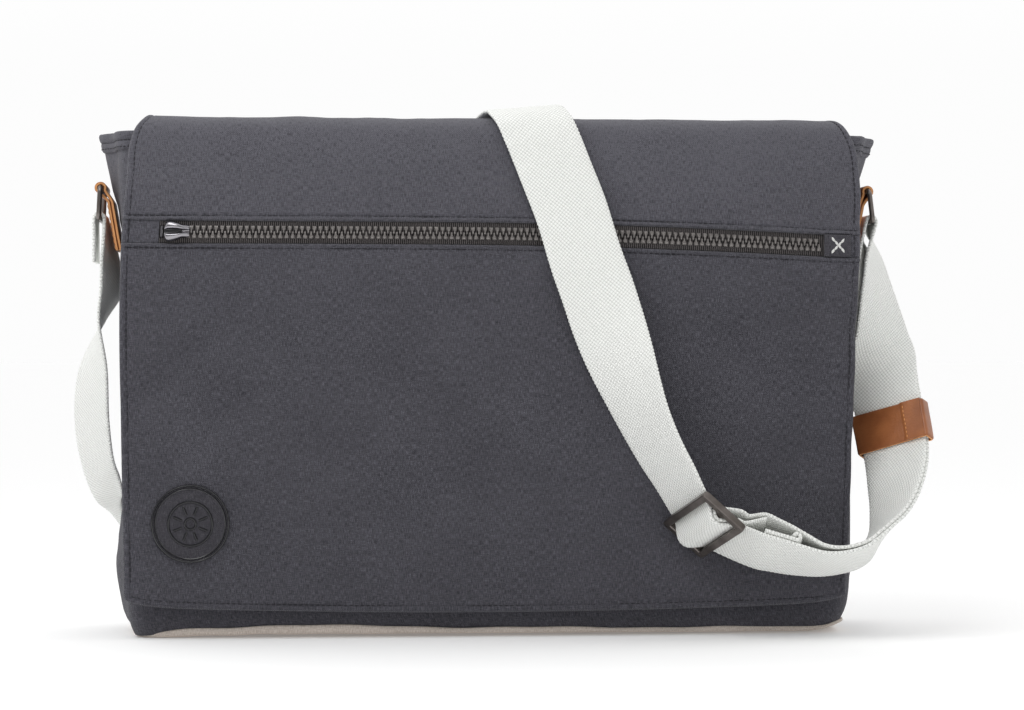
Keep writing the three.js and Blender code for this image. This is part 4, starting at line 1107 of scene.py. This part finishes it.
def badge_line(places, closed=False):
    """Raised line on the badge through places given as shares of its radius"""
    x, z = badge_x + places[:, 0] * badge_radius, badge_z + places[:, 1] * badge_radius
    low = on_flap(x, z, seam_gap + badge_wall)
    up = unit(on_flap(x, z, 2 * MM) - on_flap(x, z, 1 * MM))
    run = tangents(low)
    if closed:
        run[[0, -1]] = unit(low[1] - low[-2])
    side = unit(np.cross(run, up))
    turns = np.arange(8) * math.pi / 4
    ends = np.ones(len(x)) if closed else np.clip(np.sqrt(1 - np.linspace(-1, 1, len(x)) ** 8), 0.3, 1)
    ring = badge_cord * ends[:, None, None] * (
        np.cos(turns)[None, :, None] * side[:, None] + 0.75 * np.sin(turns)[None, :, None] * up[:, None]
    )
    grid = low[:, None] + ring
    return tube_part(grid[:-1] if closed else grid, loop=closed, number=1)


def badge_piece():
    """Round badge: cloth inside two glossy raised rings, with a plain rosette of raised lines"""
    rows = table(["radius", "raised", "gloss"], [
        [0.02, 0, 0], [0.2, 0, 0], [0.4, 0, 0], [0.6, 0, 0], [0.76, 0, 0], [0.84, 0, 0], [0.868, 0.1, 0],
        [0.88, 0.7, 1], [0.895, 1, 1], [0.91, 0.7, 1], [0.922, 0.05, 0], [0.935, 0.05, 0],
        [0.945, 0.6, 1], [0.958, 1, 1], [0.975, 1, 1], [0.99, 0.7, 1], [1, 0.2, 1], [1, -0.9, 1],
    ])
    turns = np.arange(120) * 2 * math.pi / 120
    radius = rows["radius"][:, None] * badge_radius
    x = badge_x + radius * np.cos(turns)
    z = badge_z + radius * np.sin(turns)
    out = seam_gap + badge_wall + rows["raised"][:, None] * badge_ring
    outer = on_flap(x, z, np.broadcast_to(out, x.shape))
    inner = on_flap(x, z, np.full(x.shape, seam_gap))
    part = wall_part(outer, inner, pairs(x, z), loop=True)
    parts = split_part(part, lambda faces: rows["gloss"][faces[:, 0] // len(turns) % len(radius)] > 0)
    turn = np.linspace(0, 2 * math.pi, 73)
    for share in (0.56, 0.14):
        parts.append(badge_line(share * np.stack([np.cos(turn), np.sin(turn)], 1), True))
    reach = np.linspace(0.22, 0.48, 14)[:, None]
    for turn in np.arange(8) * math.pi / 4 + math.pi / 8:
        parts.append(badge_line(reach * [math.cos(turn), math.sin(turn)]))
    make_piece("badge_print", parts, [canvas_seam, gloss_print_and_shade], ["badge"], 30)


badge_piece()


# Strap
def place_frames(rows):
    x = rows["x"] * body_half_width + flap_shift
    middles = np.stack([x, rows["y"] * flap_half_depth, rows["up"] * bag_height], -1)
    across = unit(np.stack([rows["wx"], rows["wy"], rows["wz"]], -1))
    return np.concatenate([middles, across], -1)


def bar_arc(origin, first, second, radius, start, end, steps, across):
    """Frames round a bar, from one angle to another"""
    turns = np.linspace(start, end, steps + 1)[:, None]
    middles = origin + radius * (np.cos(turns) * first + np.sin(turns) * second)
    return np.concatenate([middles, np.broadcast_to(across, middles.shape)], -1)


def ring_places(side):
    top_share, bottom_share = (1.068, 1.072) if side < 0 else (1.064, 1.074)
    top = np.array([side * top_share * body_half_width, 0, ring_top - ring_radius])
    bottom = np.array([side * bottom_share * body_half_width, 0, ring_top - ring_radius - (ring_height - ring_wire)])
    return top, bottom


def belly_point(step):
    return place_frames(read_table(belly_rows, "step", step))[:3]


keeper_half = keeper_length / (2 * np.linalg.norm(belly_point(keeper_step + 0.5) - belly_point(keeper_step - 0.5)))
keeper_from, keeper_to = keeper_step - keeper_half, keeper_step + keeper_half


def belly_pair(steps):
    """Frames of the lower layer, frames of the upper layer and the direction from one to the other"""
    rows = read_table(belly_rows, "step", steps)
    lower = place_frames(rows)
    middle, across = lower[:, :3], lower[:, 3:]
    normal = unit(np.cross(across, tangents(middle)))
    near = middle + across * web_width / 2 + normal * (rows["near_gap"] * web_width)[:, None]
    far = middle - across * web_width / 2 + normal * (rows["far_gap"] * web_width)[:, None]
    upper = np.concatenate([(near + far) / 2, unit(near - far)], -1)
    return lower, upper, normal


def crossing_frames():
    """Frames over the top of the flap: each with its lean, its lift and how far its right edge is raised"""
    steps, lean = crossing_rows["step"], crossing_rows["lean"]
    lift = web_wall / 2 + crossing_rows["lift"] * crossing_lift

    def place(step, x):
        row = read_table(flap_rows, "step", step)
        return flap_point(x / (np.where(x < 0, row["left"], row["right"]) * flap_half_width), step, lift)

    gaps = np.linalg.norm(np.diff(place(steps, np.zeros(len(steps))), axis=0), axis=1)
    reach = np.concatenate([[0], np.cumsum(gaps * (lean[1:] + lean[:-1]) / 2)])
    x = strap_top_x * body_half_width + reach - reach[list(steps).index(fold_step)]
    middle = place(steps, x)
    normal = unit(flap_point(0, steps, 1 * MM) - flap_point(0, steps, 0))
    run = unit(place(steps + 0.05, x) - middle)
    run[:, 0] = lean
    across = unit(np.cross(normal, unit(run)))
    return np.concatenate([middle, unit(across + crossing_rows["tilt"][:, None] * normal)], -1)


slide_place = np.array([0.541 * body_half_width + flap_shift, -1.412 * flap_half_depth, 0.225 * bag_height])
slide_along = unit(np.array([0.744, 0, -0.668]))
slide_across = unit(np.array([0.345, -0.88, 0.33]) - 0.036 * slide_along)
slide_up = unit(np.cross(slide_across, slide_along))


arch_rise = 3 * MM


def strap_frames():
    close = slide_bar / 2 + web_gap + web_wall / 2
    layer = web_wall + web_gap
    pitch = (slide_height - slide_bar) / 2
    rest = math.asin((2 * close + layer) / pitch)
    quarter = math.pi / 2

    def slide_arc(bar, radius, start, end, steps):
        origin = slide_place + bar * pitch * slide_along
        return bar_arc(origin, slide_along, slide_up, radius, start, end, steps, slide_across)

    _, left_bar = ring_places(-1)
    _, right_bar = ring_places(1)
    ring_close = ring_radius + web_gap + web_wall / 2
    tail = np.array([[*(left_bar - ring_close * X - drop * tail_length * Z), *Y] for drop in (1, 0.5)])
    left_loop = bar_arc(left_bar, X, Z, ring_close, math.pi, 0, 6, Y)
    right_loop = bar_arc(right_bar, X, Z, ring_close, math.pi, 0, 6, Y)
    main_in = slide_arc(-1, close, quarter, quarter - rest, 2)
    main_over = slide_arc(0, close + layer, -quarter - rest, -quarter + rest, 4)
    main_out = slide_arc(1, close, quarter + rest, quarter, 2)
    steps = np.concatenate([
        np.linspace(0, keeper_from, 16),
        np.linspace(keeper_from, keeper_to, 6)[1:],
        np.linspace(keeper_to, belly_last, 9)[1:],
    ])
    lower, upper, normal = belly_pair(steps)
    upper_in = slide_arc(1, close + 2 * layer + arch_rise, quarter, quarter + rest / 2, 2)
    hook = slide_arc(0, close, quarter + rest / 2, 3 * quarter + rest, 5)
    tail_out = slide_arc(1, close + layer, quarter + rest, quarter, 2)
    tail_end = upper[:1].copy()
    tail_end[:, :3] -= layer * normal[:1]
    return np.concatenate([
        tail, left_loop, place_frames(left_rows), crossing_frames(), place_frames(slope_rows),
        main_in, main_over, main_out, lower, right_loop, upper[::-1], upper_in, hook, tail_out, tail_end,
    ])


def smooth_frames(knots, step):
    """Frames on a smooth curve through the knots, about one step apart"""
    points = knots[:, :3]
    padded = np.concatenate([2 * knots[:1] - knots[1:2], knots, 2 * knots[-1:] - knots[-2:-1]])
    gaps = np.sqrt(np.maximum(np.linalg.norm(np.diff(padded[:, :3], axis=0), axis=1), 1e-6))
    result = []
    for k in range(len(points) - 1):
        p0, p1, p2, p3 = padded[k:k + 4]
        d0, d1, d2 = gaps[k:k + 3]
        start = ((p1 - p0) / d0 - (p2 - p0) / (d0 + d1) + (p2 - p1) / d1) * d1
        end = ((p2 - p1) / d1 - (p3 - p1) / (d1 + d2) + (p3 - p2) / d2) * d1
        parts = max(1, round(np.linalg.norm(p2 - p1)[()] / step)) if step else 1
        f = (np.arange(parts) / parts)[:, None]
        result.append(
            p1 + start * f + (3 * (p2 - p1) - 2 * start - end) * f**2 + (2 * (p1 - p2) + start + end) * f**3
        )
    result.append(knots[-1:])
    result = np.concatenate(result)
    result[:, 3:] = unit(result[:, 3:])
    return result


def band_rings(frames, width, thickness, flat_steps, round_steps, knob=0.0):
    """Rings of a flat band with rounded edges, and its weave coordinates"""
    middle, across = frames[:, :3], frames[:, 3:]
    normal = unit(np.cross(tangents(middle), across))
    half, lift = width / 2, thickness / 2
    flat = np.linspace(-half + lift, half - lift, flat_steps + 1)
    turn = np.linspace(math.pi / 2, -math.pi / 2, round_steps + 2)[1:-1]
    a = np.concatenate([flat, half - lift + lift * np.cos(turn), flat[::-1], -half + lift - lift * np.cos(turn)])
    level, bend = np.full(flat_steps + 1, lift), lift * np.sin(turn)
    b = np.concatenate([level, bend, -level, -bend])
    along = lengths_along(middle)
    beat = knob * np.sin(2 * math.pi * along / (2.2 * MM))
    edge = np.sign(a) * (np.abs(a) > half - 1.2 * lift)
    a_grid = a[None] + edge[None] * beat[:, None]
    rings = middle[:, None] + a_grid[..., None] * across[:, None] + b[None, :, None] * normal[:, None]
    weave = np.stack(np.broadcast_arrays(a[None], along[:, None]), -1)
    return rings, weave


def tail_frames():
    """Sewn tail of the strap: two plies on the lower layer under the arch, ending in a rolled fold"""
    lower, _, normal = belly_pair(np.linspace(tail_from, tail_to, 12))
    frames = lower.copy()
    frames[:, :3] += normal * (tail_wall + web_wall) / 2 + normal * web_gap
    last, along, up = frames[-1, :3], unit(frames[-1, :3] - frames[-2, :3]), normal[-1]
    turns = np.linspace(0, 1.5 * math.pi, 14)[1:, None]
    fold = last + fold_radius * (np.sin(turns) * along + (1 - np.cos(turns)) * up)
    fold = np.concatenate([fold, np.broadcast_to(frames[-1, 3:], fold.shape)], -1)
    return np.concatenate([frames, fold])


tail_from, tail_to = -0.1, 1.12
tail_wall = 2.2 * MM
fold_radius = 1.7 * MM
web_frames = smooth_frames(strap_frames(), 1.1 * MM)
web_parts = []
for run, share, wall in ((web_frames, 1.0, web_wall), (smooth_frames(tail_frames(), 0.8 * MM), 1.03, tail_wall)):
    web_parts.append(tube_part(*band_rings(run, share * web_width, wall, 14, 3, 0.16 * MM)))
make_piece("shoulder_strap", web_parts, [web_cloth], ["strap"], 60)


# Corners of a frame in order: their two sides and their first quarter turn
corner_turns = ((1, 1, 0), (-1, 1, 1), (-1, -1, 2), (1, -1, 3))
lap_from = 0.22
lap_wall = 0.7 * MM


def keeper_piece():
    """Leather band round both layers of the strap, with its ends lapped and sewn"""
    steps = np.linspace(keeper_from, keeper_to, 26)
    lower, upper, normal = belly_pair(steps)
    middle, across = lower[:, :3], lower[:, 3:]
    gap = np.einsum("ij,ij->i", upper[:, :3] - middle, normal)
    low = -web_wall / 2 - face_gap
    grid_outer, grid_inner = [], []
    turn = np.linspace(0, math.pi / 2, 6)
    flat = np.linspace(0, 1, 16)[1:-1]
    ends = np.linspace(-1, 1, len(steps))
    soften = 0.5 * MM * np.clip((np.abs(ends) - 0.93) / 0.07, 0, 1) ** 2
    for k in range(len(steps)):
        high = gap[k] + web_wall / 2 + face_gap
        for outset, grid in ((keeper_wall, grid_outer), (0.0, grid_inner)):
            radius = 1.6 * MM if outset else 0.4 * MM
            trim = -soften[k] if outset else 0.0
            side = web_width / 2 + pair_gap + outset + trim
            top, bottom = high + outset + trim, low - outset - trim
            section = []
            for sx, sy, first in corner_turns:
                cx = sx * (side - radius)
                cy = top - radius if sy > 0 else bottom + radius
                section += [(cx + radius * math.cos(t), cy + radius * math.sin(t)) for t in turn + first * math.pi / 2]
                if first in (0, 2):
                    section += [(cx * (1 - 2 * f), top if first == 0 else bottom) for f in flat]
            section = np.array(section)
            grid.append(middle[k] + section[:, :1] * across[k] + section[:, 1:] * normal[k])
    outer, inner = np.array(grid_outer), np.array(grid_inner)
    parts = split_part(wall_part(outer, inner, loop=True), rim_faces(outer[..., 0].size))
    reach = np.linspace(lap_from * web_width, web_width / 2 + pair_gap, 12)
    level = gap + web_wall / 2 + face_gap + keeper_wall
    edge = np.clip((reach - reach[0]) / (0.5 * MM), 0.4, 1)

    def lap(rise):
        lift = level[:, None] + rise * edge[None]
        return middle[:, None] + reach[None, :, None] * across[:, None] + lift[..., None] * normal[:, None]

    points, faces, weave, _ = wall_part(lap(lap_wall), lap(-0.2 * MM))
    parts.append((points, outward(points, faces), weave, 0))
    path = middle + (reach[0] + 1.7 * MM) * across + (level + lap_wall)[:, None] * normal
    parts.append(stitches(path[1:-1], normal[1:-1], 2.6 * MM, 0.7, 0.28 * MM, 1))
    return make_piece("keeper_leather", parts, [brown_face, tan_edge], ["leather_keeper"], 40)


keeper_piece()


def ring_piece(side):
    top, bottom = ring_places(side)
    middle = (top + bottom) / 2
    up = unit(top - bottom)
    normal = unit(np.cross(up, Y))
    half_length = web_width / 2 + ring_slack + ring_radius
    half_height = np.linalg.norm(top - bottom) / 2
    bend = ring_wire
    turns = np.arange(18) * 2 * math.pi / 18
    grid = []
    for y, z, quarter in corner_turns:
        for turn in np.linspace(quarter, quarter + 1, 8) * math.pi / 2:
            out = math.cos(turn) * Y + math.sin(turn) * up
            centre = middle + y * (half_length - bend) * Y + z * (half_height - bend) * up + out * bend
            grid.append(centre + ring_radius * (np.cos(turns)[:, None] * out + np.sin(turns)[:, None] * normal))
    word = "left" if side < 0 else "right"
    part = tube_part(np.array(grid), loop=True)
    return make_piece(f"wire_ring_{word}", [part], [gun_metal], [f"ring_{word}"], 60)


def tab_piece(side):
    top, _ = ring_places(side)
    bend = ring_radius + seam_gap + leather_wall / 2
    heights = np.linspace(top[2] - tab_length, top[2] - 3 * bend, 12)
    width, _, bow = body_size(heights)
    inner = sway_at(heights) + side * (width + np.maximum(bow, 0) + 2 * seam_gap + leather_wall / 2)
    ply = leather_wall + seam_gap
    up_leg = np.array([[x, 0, z, *Y] for x, z in zip(inner, heights)])
    turns = np.linspace(-tab_wrap, math.pi + tab_wrap, 20)
    arc = np.array([[top[0] - side * bend * math.cos(t), 0, top[2] + bend * math.sin(t), *Y] for t in turns])
    down_leg = up_leg[::-1].copy()
    down_leg[:, 0] += side * ply
    frames = smooth_frames(np.concatenate([up_leg, arc, down_leg]), 1.5 * MM)
    middle, across = frames[:, :3], frames[:, 3:]
    normal = unit(np.cross(tangents(middle), across))
    half, lift = tab_width / 2, leather_wall / 2
    soft = 0.4 * MM
    a = np.concatenate([[-half, -half + soft], np.linspace(-half + 3 * soft, half - 3 * soft, 14), [half - soft, half]])
    drop = np.clip((np.abs(a) - half + soft) / soft, 0, 1) * 0.35 * lift
    outer, lower = (
        middle[:, None] + a[None, :, None] * across[:, None] + (s * (lift - drop))[None, :, None] * normal[:, None]
        for s in (1, -1)
    )
    parts = split_part(wall_part(outer, lower), rim_faces(outer[..., 0].size))
    word = "left" if side < 0 else "right"
    make_piece(f"tab_leather_{word}", parts, [tan_face, tan_edge], [f"leather_tab_{word}"], 35)
    face = inner + side * (ply + lift + 0.1 * MM)
    paths = [[(x, reach, z) for x, z in zip(face, heights)] for reach in (-half + 2.6 * MM, half - 2.6 * MM)]
    paths.append([(face[1], y, heights[0] + 3 * MM) for y in np.linspace(-half + 3 * MM, half - 3 * MM, 8)])
    rows = [stitches(np.array(path), np.tile(side * X, (len(path), 1)), 3.2 * MM) for path in paths]
    make_piece(f"tab_stitching_{word}", rows, [thread_tan])


for end in (-1, 1):
    ring_piece(end)
    tab_piece(end)


corner_stretch = 0.28


def slide_piece():
    """Metal slide: a flat-sided frame with square corners and a middle bar"""
    bevel = 0.45 * MM
    half_bar = slide_bar / 2
    section = []
    for sx, sy, _ in corner_turns:
        ends = [(sx * half_bar, sy * (half_bar - bevel)), (sx * (half_bar - bevel), sy * half_bar)]
        section += ends if sx * sy > 0 else ends[::-1]
    section = np.array(section)
    half_length, half_height = slide_length / 2 - half_bar, slide_height / 2 - half_bar
    bend = 1.2 * MM
    grid = []
    for a, b, quarter in corner_turns:
        for turn in np.linspace(quarter, quarter + 1, 5) * math.pi / 2:
            out = math.cos(turn) * slide_across + math.sin(turn) * slide_along
            stretch = 1 + corner_stretch * math.sin(2 * turn) ** 2
            corner = a * (half_length - bend) * slide_across + b * (half_height - bend) * slide_along
            centre = slide_place + corner + out * bend
            grid.append(centre + section[:, :1] * out * stretch + section[:, 1:] * slide_up)
    loop = tube_part(np.array(grid), loop=True)
    spans = np.linspace(-half_length, half_length, 12)
    bar = np.array([
        slide_place + s * slide_across + section[:, :1] * slide_along + section[:, 1:] * slide_up for s in spans
    ])
    return make_piece("slide_metal", [loop, tube_part(bar)], [gun_metal], ["slide_buckle"], 25)


slide_piece()

# The flap is one sheet of cloth: its flat size is its width and the length of its section
flap_length = lengths_along(flap_point(0.0, np.linspace(0, last_step, 400)))[-1]

# Floor, world and lamps
floor_size = 60.0
floor_mesh = bpy.data.meshes.new("floor")
floor_drop = 0.2 * MM
floor_corners = [(x * floor_size, y * floor_size, -floor_drop) for x, y in ((-1, -1), (1, -1), (1, 1), (-1, 1))]
floor_mesh.from_pydata(floor_corners, [], [(0, 1, 2, 3)])
floor = bpy.data.objects.new("floor", floor_mesh)
bpy.context.collection.objects.link(floor)
floor_finish = Finish("floor", roughness=0.9)
floor_finish.colour((0.92, 0.92, 0.92))
floor_finish.shader.inputs["Emission Color"].default_value = (1, 1, 1, 1)
floor_finish.shader.inputs["Emission Strength"].default_value = 0.12
floor_mesh.materials.append(floor_finish.material)

world = bpy.data.worlds.new("world")
bpy.context.scene.world = world
world.use_nodes = True
nodes, links = world.node_tree.nodes, world.node_tree.links
background = nodes["Background"]
background.inputs["Color"].default_value = (1, 1, 1, 1)
split = nodes.new("ShaderNodeSeparateXYZ")
links.new(nodes.new("ShaderNodeTexCoord").outputs["Generated"], split.inputs[0])
strength = nodes.new("ShaderNodeMath")
# Brightness of the studio: more towards the back, and more from above
for socket, (axis, *limits) in enumerate((("Y", -0.6, 0.5, 0.24, 0.98), ("Z", 0.1, 1.0, 0.0, 0.45))):
    bright = nodes.new("ShaderNodeMapRange")
    links.new(split.outputs[axis], bright.inputs[0])
    for key, value in enumerate(limits, 1):
        bright.inputs[key].default_value = value
    links.new(bright.outputs[0], strength.inputs[socket])
links.new(strength.outputs[0], background.inputs["Strength"])


def lamp(name, place, aim, size, power):
    data = bpy.data.lights.new(name, "AREA")
    data.shape = "RECTANGLE"
    data.size, data.size_y = size
    data.energy = power
    made = bpy.data.objects.new(name, data)
    bpy.context.collection.objects.link(made)
    made.location = place
    towards = np.array(aim) - np.array(place)
    turn = math.atan2(-towards[0], towards[1])
    tilt = math.atan2(math.hypot(towards[0], towards[1]), -towards[2])
    made.rotation_euler = (tilt, 0, turn)


lamp("key", (-0.45, -0.55, 0.98), (0, 0, 0.20), (0.9, 0.5), 4.2)
lamp("fill", (1.2, -1.5, 0.9), (0, 0, 0.14), (0.8, 0.8), 1.6)
